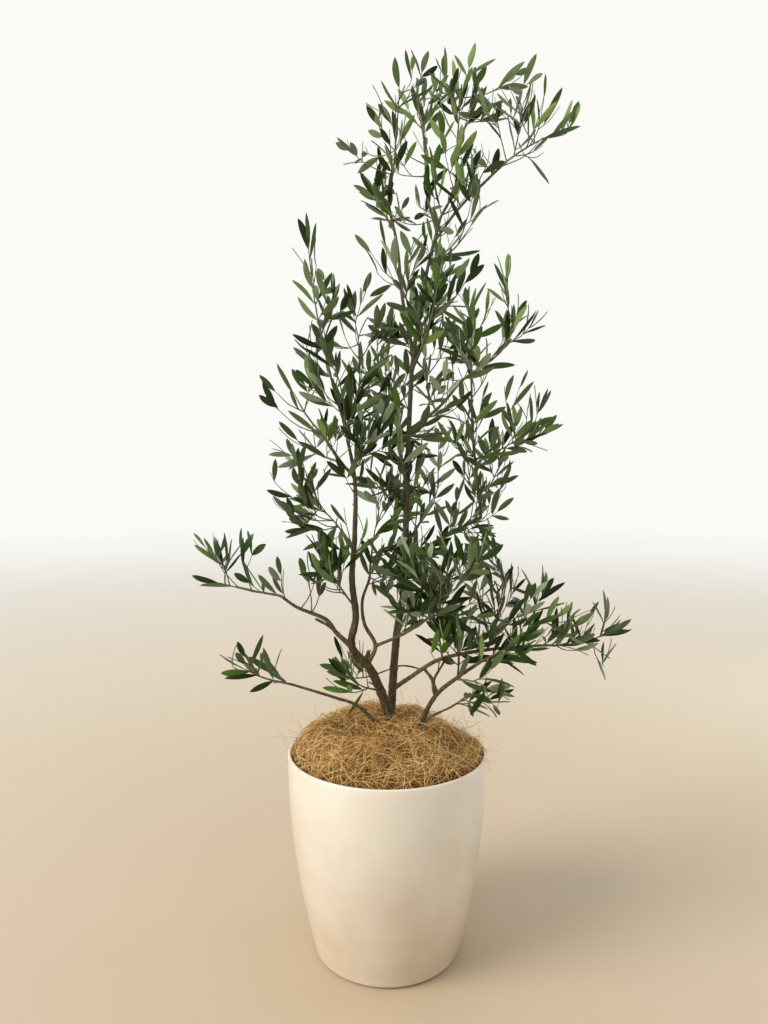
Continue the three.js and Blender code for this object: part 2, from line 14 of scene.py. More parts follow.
import bpy
import numpy as np
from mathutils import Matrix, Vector

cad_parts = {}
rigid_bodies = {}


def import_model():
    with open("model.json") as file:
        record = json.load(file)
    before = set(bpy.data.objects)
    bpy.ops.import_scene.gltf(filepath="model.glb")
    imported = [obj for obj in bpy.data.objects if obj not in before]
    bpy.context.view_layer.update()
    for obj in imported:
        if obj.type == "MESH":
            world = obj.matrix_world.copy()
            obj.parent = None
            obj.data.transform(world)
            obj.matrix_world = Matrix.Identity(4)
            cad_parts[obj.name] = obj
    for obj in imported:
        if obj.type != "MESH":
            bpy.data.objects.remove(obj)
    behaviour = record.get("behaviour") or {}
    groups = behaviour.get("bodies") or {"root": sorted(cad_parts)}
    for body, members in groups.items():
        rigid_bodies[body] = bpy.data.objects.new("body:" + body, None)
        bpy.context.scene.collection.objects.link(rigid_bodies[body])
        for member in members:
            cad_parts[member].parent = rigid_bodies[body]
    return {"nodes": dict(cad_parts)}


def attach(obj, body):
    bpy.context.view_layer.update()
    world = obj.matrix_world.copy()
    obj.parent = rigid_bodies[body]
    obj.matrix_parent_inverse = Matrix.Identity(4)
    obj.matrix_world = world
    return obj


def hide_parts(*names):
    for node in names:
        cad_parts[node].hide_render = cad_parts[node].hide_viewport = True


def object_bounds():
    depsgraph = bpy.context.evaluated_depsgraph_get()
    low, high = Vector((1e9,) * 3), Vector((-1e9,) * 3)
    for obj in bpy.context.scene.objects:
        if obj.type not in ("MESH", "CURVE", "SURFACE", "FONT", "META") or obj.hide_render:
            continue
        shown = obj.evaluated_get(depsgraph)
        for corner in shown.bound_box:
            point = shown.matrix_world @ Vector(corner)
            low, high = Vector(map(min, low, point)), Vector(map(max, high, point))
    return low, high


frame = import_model()
CAD_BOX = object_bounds()

log = logging.getLogger("olive")

MM = 0.001
VIEW_DISTANCE = 1100.0
VIEW_HEIGHT = 720.0
UP = np.array((0.0, 0.0, 1.0))

# Planter
POT_HEIGHT = 302.0
RIM_RADIUS = 150.0
HEEL_RADIUS = 109.0
HEEL_ROUND = 9.0
STRAIGHT_RIM = 10.0
SIDE_POWER = 1.9
WALL = 5.0
POT_FLOOR = 8.0

# Soil and mulch
SOIL_TOP = 292.0
MOUND_HEIGHT = 68.0
MOUND_EDGE = 4.0
MOUND_POWER = 2.0

# Limbs
CLEARANCE = 0.3
TAPER_POWER = 1.25
FLARE = 0.45
FLARE_HEIGHT = 14.0


class Slot(Enum):
    """Material slots of the part's record."""

    POT = "glazed_shell"
    COIR = "coconut_fibre"
    TRUNK = "trunk_bark"
    BOUGH = "bough_bark"
    LEAF = "olive_leaves"


class LeafTone(Enum):
    """How a spray's leaves look: upper side and underside as sRGB colours."""

    DEEP = ("#1b2e0b", "#52663d")
    OLIVE = ("#284213", "#62754c")
    GREY = ("#3b4e2c", "#8f9d80")
    FRESH = ("#40621c", "#7f9a58")


@dataclass(frozen=True)
class LimbRow:
    """One limb as a chain of straight runs, smoothed into a curve.

    A run is (length, lean from upright, heading from +X towards +Y). A limb stands on the soil at its foot,
    leaves another limb at a distance along it, or goes on after another's tip. thick is the diameter at the
    foot and at the tip.
    """

    name: str
    runs: tuple
    thick: tuple = ()
    foot: Optional[tuple] = None
    on: str = ""
    at: float = 0.0
    after: str = ""


@dataclass(frozen=True)
class OffshootRow:
    """A side branch too thin for a limb: its limb, the share of it where it springs, the points that it passes,
    its radii at both ends, and the limb and share that it runs back into, if it does."""

    limb: str
    share: float
    points: tuple
    radii: tuple
    end: Optional[tuple] = None


@dataclass(frozen=True)
class MassRow(LimbRow):
    """A mass of foliage: the stem that its twigs spring from, and about how long those are."""

    reach: float = 30.0


@dataclass(frozen=True)
class Spot:
    """A round spot of the crown as seen from the front, by its middle and radius in millimetres.

    amount is the share of leaves kept where the photograph shows sky, or the number of twigs added where it
    shows more leaves than the masses give.
    """

    x: float
    z: float
    radius: float
    amount: float


LIMBS = (
    LimbRow(
        "trunk_leader",
        (
            (115, 3, 350), (75, 5, 340), (65, 9, 350), (105, 2, 325),
            (170, 2, 335), (65, 4, 335), (130, 9, 355), (75, 14, 0),
        ),
        foot=(3, 10), thick=(14, 4.4),
    ),
    LimbRow(
        "trunk_left",
        (
            (68, 9, 180), (48, 20, 183), (28, 26, 183), (42, 39, 185), (45, 8, 340),
            (55, 6, 200), (65, 4, 335), (85, 1, 280), (80, 11, 195),
        ),
        foot=(13, -14), thick=(17, 4.4),
    ),
    LimbRow(
        "stem_right", ((68, 7, 345), (44, 26, 350), (42, 48, 350), (32, 53, 345)), foot=(43, -46), thick=(9, 5),
    ),
    LimbRow(
        "bough_low_left", ((84, 42, 194), (35, 67, 190), (65, 69, 195)), thick=(6, 3.6), on="trunk_left", at=22,
    ),
    LimbRow(
        "bough_left_long", ((33, 46, 190), (23, 36, 195), (50, 64, 195), (24, 53, 198)), thick=(8, 4),
        on="trunk_left", at=186,
    ),
    LimbRow(
        "bough_fork_mid", ((31, 23, 10), (36, 29, 160), (34, 11, 120), (30, 23, 40)), thick=(7, 4),
        on="trunk_left", at=150,
    ),
    LimbRow(
        "bough_cross_right", ((40, 65, 325), (25, 62, 320), (35, 55, 330)), thick=(5, 3.6), on="bough_fork_mid",
        at=31,
    ),
    LimbRow(
        "bough_low_right", ((40, 53, 335), (52, 56, 340), (95, 77, 350), (48, 85, 355)), thick=(7, 4),
        on="trunk_leader", at=98,
    ),
    LimbRow("bough_right_riser_low", ((64, 64, 20), (67, 64, 15)), thick=(6, 5), on="trunk_leader", at=300),
    LimbRow("bough_right_riser", ((59, 5, 155), (56, 7, 195)), thick=(5, 4), after="bough_right_riser_low"),
    LimbRow("bough_right_upper", ((58, 57, 330), (48, 46, 325)), thick=(5.5, 4), on="trunk_leader", at=492),
    LimbRow("bough_left_mid", ((28, 48, 215), (43, 37, 210)), thick=(5, 3.8), on="trunk_left", at=440),
    LimbRow(
        "bough_upper_left", ((88, 15, 135), (77, 7, 140), (60, 12, 165)), thick=(6, 3.8), on="trunk_leader",
        at=604,
    ),
    LimbRow("bough_top_left", ((54, 30, 112),), thick=(4.4, 3.8), on="trunk_leader", at=785),
    LimbRow("bough_top_right", ((60, 40, 342), (48, 50, 340)), thick=(4.4, 3.8), on="trunk_leader", at=770),
    LimbRow("bough_back_low", ((67, 66, 70),), thick=(5.5, 4), on="trunk_leader", at=318),
    LimbRow("bough_back_mid", ((75, 55, 105),), thick=(5.5, 4), on="trunk_leader", at=471),
    LimbRow("bough_back_high", ((64, 52, 70),), thick=(5, 4), on="trunk_leader", at=626),
    LimbRow("bough_front_mid", ((52, 56, 260),), thick=(5, 4), on="trunk_leader", at=406),
    LimbRow("bough_front_high", ((48, 62, 285),), thick=(5, 4), on="trunk_leader", at=581),
)

MASSES = (
    MassRow("top", ((50, 26, 10), (60, 6, 60), (55, 4, 10), (36, 5, 0)), after="trunk_leader", reach=30),
    MassRow("top_left", ((52, 20, 100), (50, 12, 100), (42, 12, 140)), after="bough_top_left", reach=28),
    MassRow("top_right", ((40, 55, 335), (34, 62, 345), (28, 66, 350)), after="bough_top_right", reach=36),
    MassRow("upper_left", ((70, 9, 320), (55, 9, 300), (38, 5, 320)), after="bough_upper_left", reach=26),
    MassRow("upper_left_side", ((40, 34, 140), (36, 34, 155)), on="bough_upper_left", at=190, reach=28),
    MassRow("leader_right", ((42, 60, 350), (38, 40, 345)), on="trunk_leader", at=735, reach=30),
    MassRow("leader_left", ((56, 38, 232), (48, 26, 215)), on="trunk_leader", at=645, reach=30),
    MassRow(
        "left_top", ((45, 17, 200), (64, 14, 195), (62, 12, 200), (72, 7, 200)), after="trunk_left", reach=27,
    ),
    MassRow("left_upper", ((84, 24, 60), (72, 16, 95), (40, 16, 130)), on="trunk_left", at=500, reach=28),
    MassRow("left_face", ((58, 42, 268), (46, 22, 235)), on="trunk_left", at=508, reach=28),
    MassRow("left_mid", ((38, 40, 195), (34, 30, 185)), after="bough_left_mid", reach=28),
    MassRow("left_mid_low", ((60, 74, 140), (34, 60, 145)), on="bough_left_mid", at=30, reach=30),
    MassRow("left_waist", ((62, 50, 138), (40, 56, 145)), on="trunk_left", at=337, reach=32),
    MassRow("left_clump", ((46, 38, 220), (46, 30, 205)), on="trunk_left", at=245, reach=30),
    MassRow("left_long", ((46, 78, 190), (44, 74, 190)), after="bough_left_long", reach=20),
    MassRow("low_left_tip", ((42, 74, 190), (30, 62, 190)), after="bough_low_left", reach=20),
    MassRow("low_left_inner", ((48, 67, 222), (26, 50, 215)), on="trunk_left", at=105, reach=22),
    MassRow("fork_mid", ((24, 17, 75), (34, 12, 60), (30, 14, 40)), after="bough_fork_mid", reach=36),
    MassRow("centre_left", ((56, 46, 0), (50, 22, 20)), on="trunk_left", at=460, reach=32),
    MassRow("cross_right", ((34, 46, 318), (44, 20, 300)), after="bough_cross_right", reach=38),
    MassRow(
        "right_top", ((54, 4, 230), (54, 4, 245), (58, 5, 250), (36, 6, 200)), after="bough_right_riser",
        reach=28,
    ),
    MassRow("right_upper", ((60, 58, 336), (28, 38, 345), (28, 20, 345)), after="bough_right_upper", reach=28),
    MassRow("right_inner", ((46, 40, 110), (50, 20, 100)), on="bough_right_upper", at=52, reach=36),
    MassRow("right_mid", ((38, 70, 335), (34, 62, 345)), on="bough_right_riser", at=96, reach=30),
    MassRow("right_lower", ((36, 66, 50), (32, 40, 45)), on="bough_right_riser", at=42, reach=36),
    MassRow("right_waist", ((62, 18, 330), (56, 14, 20)), on="bough_low_right", at=165, reach=38),
    MassRow("low_right_near", ((56, 44, 95), (50, 22, 80)), on="bough_low_right", at=97, reach=36),
    MassRow("low_right_mid", ((48, 18, 330), (36, 14, 345)), on="bough_low_right", at=216, reach=34),
    MassRow("low_right_far", ((54, 86, 355), (38, 70, 350)), after="bough_low_right", reach=22),
    MassRow("stem_right", ((38, 58, 335), (32, 60, 340)), after="stem_right", reach=36),
    MassRow("lowest_right", ((34, 86, 318), (20, 105, 325)), on="stem_right", at=150, reach=22),
    MassRow("back_low", ((60, 58, 60), (50, 30, 55)), after="bough_back_low", reach=38),
    MassRow("back_mid", ((62, 48, 115), (50, 24, 110)), after="bough_back_mid", reach=42),
    MassRow("back_high", ((60, 42, 60), (48, 20, 60)), after="bough_back_high", reach=38),
    MassRow("front_mid", ((50, 42, 262), (44, 22, 270)), after="bough_front_mid", reach=44),
    MassRow("front_high", ((46, 44, 290), (40, 18, 305)), after="bough_front_high", reach=38),
)

OFFSHOOTS = (
    OffshootRow("bough_left_long", 0.3, ((-88.3, -26.7, 496.7), (-105.3, -30.7, 506.7)), (2.4, 1.5)),
    OffshootRow(
        "stem_right", 0.6, ((66.4, -49.0, 408.0), (65.8, -43.0, 418.0)), (2.3, 1.9), ("bough_low_right", 0.27),
    ),
    OffshootRow(
        "stem_right", 0.62, ((67.6, -44.0, 419.0), (74.0, -40.0, 431.3), (81.3, -32.0, 440.0)), (1.7, 1.4),
        ("bough_low_right", 0.43),
    ),
    OffshootRow(
        "stem_right", 0.83, ((102.2, -52.0, 437.0), (103.6, -42.0, 446.0)), (1.5, 1.2), ("bough_low_right", 0.52),
    ),
    OffshootRow(
        "bough_low_right", 0.25,
        (
            (37.4, 9.0, 425.0), (18.1, 25.0, 422.0), (-1.9, 33.0, 412.6),
            (-29.8, 30.0, 403.8), (-57.5, 26.0, 401.8), (-69.6, 22.0, 401.3),
        ),
        (1.3, 0.7),
    ),
    OffshootRow(
        "stem_right", 0.34,
        ((64.7, -56.0, 370.7), (92.0, -61.0, 385.9), (108.7, -65.0, 399.1), (118.0, -67.0, 407.5)), (1.7, 0.9),
    ),
)

SKY_GAPS = tuple(
    Spot(*row) for row in (
        (33, 1177, 21, 0.5), (189, 1290, 18, 0.5), (251, 1206, 21, 0.3), (-266, 562, 18, 0.5),
        (-232, 622, 18, 0.6), (195, 999, 24, 0.3), (196, 859, 21, 0.3), (167, 830, 21, 0.3),
        (108, 742, 18, 0.4), (-159, 795, 21, 0.5), (-70, 918, 18, 0.5), (-70, 801, 15, 0.6),
        (335, 472, 18, 0.5), (259, 532, 18, 0.5), (109, 532, 18, 0.5), (-11, 947, 18, 0.5),
        (-23, 1048, 21, 0.6), (166, 886, 15, 0.5), (166, 918, 18, 0.5), (222, 1206, 18, 0.5),
        (78, 742, 15, 0.6), (167, 830, 18, 0.6), (-159, 786, 21, 0.6), (-99, 1034, 18, 0.5),
        (-11, 1206, 18, 0.5), (-159, 859, 18, 0.5), (186, 991, 30, 0.5), (175, 842, 42, 0.4),
        (251, 1206, 21, 0.5), (78, 739, 24, 0.5), (304, 514, 30, 0.5), (25, 857, 27, 0.6),
        (107, 1002, 24, 0.6), (-235, 574, 21, 0.6), (63, 789, 27, 0.65), (21, 1113, 21, 0.5),
        (-74, 682, 27, 0.5), (44, 1279, 27, 0.6), (100, 1177, 21, 0.5), (164, 1146, 27, 0.5),
        (221, 1268, 24, 0.6), (-129, 880, 27, 0.8), (-100, 739, 21, 0.5), (-157, 706, 27, 0.6),
        (108, 801, 24, 0.5), (-222, 438, 24, 0.5), (109, 615, 21, 0.6), (222, 1189, 39, 0.4),
        (221, 1251, 30, 0.5), (233, 1206, 30, 0.4), (-4, 1288, 27, 0.4), (21, 1276, 21, 0.6),
        (105, 1290, 21, 0.6), (4, 1211, 33, 0.5), (21, 1234, 27, 0.5), (21, 1160, 33, 0.35),
        (184, 1174, 33, 0.35), (76, 1203, 21, 0.6), (48, 1120, 27, 0.6), (135, 1100, 30, 0.5),
        (-6, 1045, 42, 0.2), (-93, 1037, 33, 0.3), (-67, 994, 27, 0.4), (-128, 976, 27, 0.7),
        (94, 1070, 39, 0.55), (115, 1089, 27, 0.6), (-132, 918, 24, 0.6), (99, 1012, 42, 0.7),
        (166, 895, 36, 0.25), (78, 886, 27, 0.4), (-43, 900, 33, 0.25), (-63, 871, 33, 0.65), (36, 857, 36, 0.55),
        (63, 830, 30, 0.75), (140, 862, 36, 0.6), (-153, 836, 33, 0.4), (-129, 786, 30, 0.45),
        (-156, 801, 21, 0.5), (-93, 745, 30, 0.4), (87, 739, 30, 0.6), (-85, 827, 30, 0.6), (-8, 771, 24, 0.6),
        (45, 801, 21, 0.65), (116, 833, 24, 0.6), (-100, 649, 21, 0.5), (-71, 670, 45, 0.2), (-8, 643, 30, 0.35),
        (55, 643, 27, 0.5), (-157, 703, 27, 0.5), (-130, 679, 21, 0.6), (-163, 658, 33, 0.8),
        (-178, 598, 36, 0.5), (-131, 583, 27, 0.45), (204, 601, 51, 0.25), (219, 583, 27, 0.5),
        (175, 690, 36, 0.6), (84, 682, 24, 0.6), (106, 553, 30, 0.6), (141, 646, 24, 0.5),
        (-268, 622, 30, 0.5), (-225, 453, 27, 0.5), (280, 541, 39, 0.4), (-79, 520, 63, 0.15),
        (-32, 469, 33, 0.1), (-79, 464, 27, 0.3), (199, 514, 36, 0.6), (172, 529, 27, 0.6),
        (-221, 526, 30, 0.2), (-233, 559, 33, 0.6), (260, 438, 30, 0.5), (120, 1191, 36, 0.7),
        (347, 478, 30, 0.5), (143, 408, 27, 0.35), (-44, 408, 24, 0.5), (73, 464, 27, 0.5),
    )
)
THICK_SPOTS = tuple(
    Spot(*row) for row in (
        (-130, 709, 39, 2), (-4, 715, 39, 6), (25, 600, 36, 13), (49, 523, 36, 10), (118, 472, 42, 9),
        (146, 377, 24, 5), (95, 903, 30, 5), (4, 921, 27, 9), (45, 1091, 27, 3), (140, 1242, 21, 3),
        (106, 1143, 22, 6), (204, 823, 36, 2), (177, 998, 21, 2), (153, 704, 33, 4), (141, 675, 21, 4),
        (139, 456, 24, 6), (-247, 598, 18, 2), (79, 1259, 18, 2), (105, 768, 18, 2), (-40, 1177, 15, 1),
        (126, 607, 33, 6), (282, 494, 33, 4), (253, 1237, 24, 1), (-104, 565, 24, 5), (-158, 562, 21, 1),
        (77, 1089, 18, 2), (56, 780, 27, 4), (137, 774, 27, 1), (-38, 793, 27, 3), (63, 704, 24, 3),
        (90, 645, 21, 2), (-214, 429, 24, 2), (-259, 610, 21, 1), (-220, 598, 21, 1), (-127, 655, 24, 3),
        (-99, 900, 24, 5), (122, 900, 24, 5), (90, 854, 21, 3), (-80, 607, 24, 7), (169, 562, 21, 4),
        (-57, 1183, 12, 1), (319, 505, 18, 1), (59, 1262, 24, 2), (195, 1251, 21, 2), (-11, 1146, 18, 2),
        (60, 959, 30, 6), (111, 768, 21, 2), (-97, 709, 21, 2), (79, 592, 21, 4), (188, 456, 21, 3),
        (-47, 438, 18, 3), (-64, 414, 18, 2), (-107, 562, 18, 3), (-86, 574, 18, 2), (-11, 559, 18, 2),
        (-160, 682, 15, 1), (47, 1299, 21, 2), (62, 1265, 20, 2), (141, 1177, 18, 2), (195, 1285, 18, 1),
        (-100, 709, 18, 2), (11, 1083, 18, 2), (56, 768, 18, 2), (102, 649, 18, 2), (-22, 1234, 14, 1),
        (320, 444, 18, 1), (21, 1177, 21, 2), (137, 1274, 18, 1), (-38, 739, 18, 2), (22, 682, 15, 2),
        (328, 493, 18, 2), (170, 756, 18, 2), (143, 1169, 15, 1), (132, 1172, 16, 2), (221, 1259, 14, 1),
        (-17, 682, 14, 1), (141, 685, 14, 1),
    )
)


def linear(code: str) -> tuple:
    """Turns an sRGB hex colour such as "#f1eee4" to linear red, green and blue, with an alpha of 1."""
    channels = [int(code[i : i + 2], 16) / 255 for i in (1, 3, 5)]
    return (*(c / 12.92 if c <= 0.04045 else ((c + 0.055) / 1.055) ** 2.4 for c in channels), 1.0)


def unit(vector: np.ndarray) -> np.ndarray:
    """Returns vectors at length 1."""
    return vector / np.maximum(np.linalg.norm(vector, axis=-1, keepdims=True), 1e-9)


def direction(lean: float, heading: float) -> np.ndarray:
    """Direction at a lean from upright and a heading from +X towards +Y, both in degrees."""
    polar, turn = math.radians(lean), math.radians(heading)
    return np.array((math.sin(polar) * math.cos(turn), math.sin(polar) * math.sin(turn), math.cos(polar)))


def mix(low: float, high: float, share: float) -> float:
    """The value at a share of the way from low to high."""
    return low + (high - low) * share


class SeededRandom:
    """The seeded row of draws that the source's rule uses."""

    RANGE = 4294967296

    def __init__(self, seed: int) -> None:
        """Starts the row at a seed."""
        self.state = (seed * 2654435761) % self.RANGE

    def __call__(self) -> float:
        """The next draw, from 0 to 1."""
        self.state = (self.state * 1664525 + 1013904223) % self.RANGE
        return self.state / self.RANGE


def centripetal(points: np.ndarray, divisions: int = 16) -> np.ndarray:
    """Runs a smooth curve through points.

    Args:
        points: The points, at least two.
        divisions: Steps between two neighbouring points.

    Returns:
        Points close together on the curve.
    """
    ends = np.vstack((2 * points[0] - points[1], points, 2 * points[-1] - points[-2]))
    share = np.linspace(0, 1, divisions, endpoint=False)[:, None]
    line = []
    for before, here, there, beyond in zip(ends, ends[1:], ends[2:], ends[3:]):
        d0, d1, d2 = (
            math.sqrt(max(np.linalg.norm(b - a), 1e-6))
            for a, b in ((before, here), (here, there), (there, beyond))
        )
        enter = ((here - before) / d0 - (there - before) / (d0 + d1) + (there - here) / d1) * d1
        leave = ((there - here) / d1 - (beyond - here) / (d1 + d2) + (beyond - there) / d2) * d1
        square = -3 * here + 3 * there - 2 * enter - leave
        cube = 2 * here - 2 * there + enter + leave
        line.append(here + enter * share + square * share**2 + cube * share**3)
    line.append(points[-1:])
    return np.vstack(line)


class Path:
    """A smooth line through points, read by the share of its length."""

    def __init__(self, points: Sequence) -> None:
        """Runs the line through points.

        Args:
            points: The points, at least two.
        """
        self.line = centripetal(np.array(points, float))
        steps = np.linalg.norm(np.diff(self.line, axis=0), axis=1)
        self.along = np.concatenate(([0.0], np.cumsum(steps)))
        self.length = float(self.along[-1])

    def at(self, share: float) -> np.ndarray:
        """The point, or the points, at a share of the length."""
        reach = np.asarray(share, float) * self.length
        return np.stack([np.interp(reach, self.along, self.line[:, k]) for k in range(3)], axis=-1)

    def tangent(self, share: float) -> np.ndarray:
        """The direction of the line at a share of the length."""
        step = 0.01
        return unit(self.at(min(share + step, 1.0)) - self.at(max(share - step, 0.0)))

    def spaced(self, steps: int) -> np.ndarray:
        """Points at equal steps from end to end."""
        return self.at(np.linspace(0, 1, steps + 1))


def carried_frames(line: np.ndarray) -> tuple:
    """Two directions square to a line at each of its points, carried along without twist.

    Args:
        line: Points along the line.

    Returns:
        The two arrays of directions.
    """
    tangents = unit(np.gradient(line, axis=0))
    side = np.cross(tangents[0], UP)
    if np.linalg.norm(side) < 1e-3:
        side = np.array((1.0, 0.0, 0.0))
    sides = []
    for tangent in tangents:
        side = unit(side - tangent * np.dot(side, tangent))
        sides.append(side)
    sides = np.array(sides)
    return sides, np.cross(tangents, sides)


class Draft:
    """Gathers the points and faces of one piece, then makes its mesh."""

    def __init__(self) -> None:
        """Starts empty."""
        self.points: list = []
        self.faces: list = []
        self.slots: list = []
        self.count = 0

    def add(self, points: np.ndarray, faces: Sequence, slots: Sequence = ()) -> None:
        """Adds points, and faces that count from the first of them.

        Args:
            points: Array of points, in millimetres.
            faces: Arrays of faces, each with one number of corners.
            slots: Index of each array's material, if not the first.
        """
        for group, slot in zip(faces, slots or (0,) * len(faces)):
            self.faces.append(np.asarray(group, np.int64) + self.count)
            self.slots.append(np.full(len(group), slot, np.int32))
        self.points.append(points)
        self.count += len(points)

    def build(self, name: str, materials: Sequence, crease: float = 180.0) -> bpy.types.Object:
        """Makes the object.

        Args:
            name: The piece's name.
            materials: Its materials, in the order of the slots.
            crease: Edges sharper than this angle in degrees stay sharp.

        Returns:
            The object, at the origin, with its place in its mesh.
        """
        mesh = bpy.data.meshes.new(name)
        points = np.vstack(self.points) * MM
        corners = np.concatenate([group.ravel() for group in self.faces])
        sizes = np.concatenate([np.full(len(group), group.shape[1]) for group in self.faces])
        mesh.vertices.add(len(points))
        mesh.vertices.foreach_set("co", points.astype(np.float32).ravel())
        mesh.loops.add(len(corners))
        mesh.loops.foreach_set("vertex_index", corners.astype(np.int32))
        mesh.polygons.add(len(sizes))
        starts = np.concatenate(([0], np.cumsum(sizes)[:-1]))
        mesh.polygons.foreach_set("loop_start", starts.astype(np.int32))
        mesh.polygons.foreach_set("material_index", np.concatenate(self.slots))
        mesh.update(calc_edges=True)
        mesh.validate()
        mesh.shade_smooth()
        if crease < 180:
            mesh.set_sharp_from_angle(angle=math.radians(crease))
        for material in materials:
            mesh.materials.append(material)
        piece = bpy.data.objects.new(name, mesh)
        bpy.context.scene.collection.objects.link(piece)
        return piece


def tube_faces(rings: int, sides: int) -> list:
    """Faces of a tube closed at both ends.

    Args:
        rings: Number of rings of points.
        sides: Points in each ring.

    Returns:
        The side's quads and the two end faces.
    """
    ring = np.arange(rings - 1)[:, None] * sides
    here = ring + np.arange(sides)
    there = ring + (np.arange(sides) + 1) % sides
    quads = np.stack((here, there, there + sides, here + sides), axis=-1).reshape(-1, 4)
    foot = np.arange(sides)[::-1][None, :]
    tip = ((rings - 1) * sides + np.arange(sides))[None, :]
    return [quads, foot, tip]


def tube_points(line: np.ndarray, radii: np.ndarray, sides: int) -> np.ndarray:
    """Points of a tube round a line.

    Args:
        line: Points along the middle.
        radii: Radius at each point, or at each point and side.
        sides: Points in each ring.

    Returns:
        The points, ring by ring.
    """
    first, second = carried_frames(line)
    turn = np.arange(sides) * (2 * math.pi / sides)
    radii = np.asarray(radii, float)
    radii = radii[:, None] if radii.ndim == 1 else radii
    round_x = (radii * np.cos(turn))[..., None] * first[:, None, :]
    round_y = (radii * np.sin(turn))[..., None] * second[:, None, :]
    return (line[:, None, :] + round_x + round_y).reshape(-1, 3)


class WrapNoise:
    """Smooth seeded noise on a limb's surface, with no seam round it."""

    ROWS = 97

    def __init__(self, seed: int, around: int, spacing: float) -> None:
        """Sets its grid by a seed, the cells round the limb and the length of a cell along it."""
        self.around, self.spacing = around, spacing
        self.grid = np.random.default_rng(seed).uniform(-1, 1, (self.ROWS, around))

    def __call__(self, along: np.ndarray, turn: np.ndarray) -> np.ndarray:
        """Reads the noise.

        Args:
            along: Distances along the limb.
            turn: Shares of a turn round it.

        Returns:
            The noise there, from -1 to 1.
        """
        u, v = turn * self.around, along / self.spacing
        i, j = np.floor(u).astype(int), np.floor(v).astype(int)
        fu, fv = u - i, v - j
        fu, fv = fu * fu * (3 - 2 * fu), fv * fv * (3 - 2 * fv)
        here, there = i % self.around, (i + 1) % self.around
        near, far = (
            mix(self.grid[row % self.ROWS, here], self.grid[row % self.ROWS, there], fu) for row in (j, j + 1)
        )
        return mix(near, far, fv)


def repeats(size: float) -> float:
    """Repeats in a metre of a pattern whose lumps are a size in millimetres across, as a texture's Scale."""
    return 1 / (size * MM)


def add_node(
    tree: bpy.types.NodeTree, kind: str, settings: Optional[dict] = None, inputs: Optional[dict] = None,
    stops: Sequence = (),
) -> bpy.types.Node:
    """Adds a node with its settings and links.

    Args:
        tree: The tree that it goes into.
        kind: Blender's name of the node type.
        settings: Properties of the node, by name.
        inputs: For each input, by name or index, a value, or the output that feeds it.
        stops: Bands of a colour ramp, as (position, sRGB colour) from low to high.

    Returns:
        The node.
    """
    node = tree.nodes.new(kind)
    for key, value in (settings or {}).items():
        setattr(node, key, value)
    for key, value in (inputs or {}).items():
        if isinstance(key, str):
            socket = next(s for s in node.inputs if s.name == key and s.enabled)
        else:
            socket = node.inputs[key]
        if isinstance(value, bpy.types.NodeSocket):
            tree.links.new(value, socket)
        else:
            socket.default_value = value
    for _ in stops[2:]:
        node.color_ramp.elements.new(0.5)
    for index, (position, code) in enumerate(stops):
        node.color_ramp.elements[index].position = position
        node.color_ramp.elements[index].color = linear(code)
    return node


def new_material(name: str, **values: object) -> tuple:
    """Starts a material with one Principled shader.

    Args:
        name: The material's name.
        values: Plain values for the shader's inputs, with _ for a space.

    Returns:
        The material, its tree, the shader, and the place on the piece for patterns to read.
    """
    material = bpy.data.materials.get(name) or bpy.data.materials.new(name)
    material.use_nodes = True
    tree = material.node_tree
    tree.nodes.clear()
    shader = add_node(tree, "ShaderNodeBsdfPrincipled")
    for key, value in values.items():
        shader.inputs[key.replace("_", " ")].default_value = value
    add_node(tree, "ShaderNodeOutputMaterial", inputs={0: shader.outputs[0]})
    return material, tree, shader, add_node(tree, "ShaderNodeTexCoord").outputs["Object"]


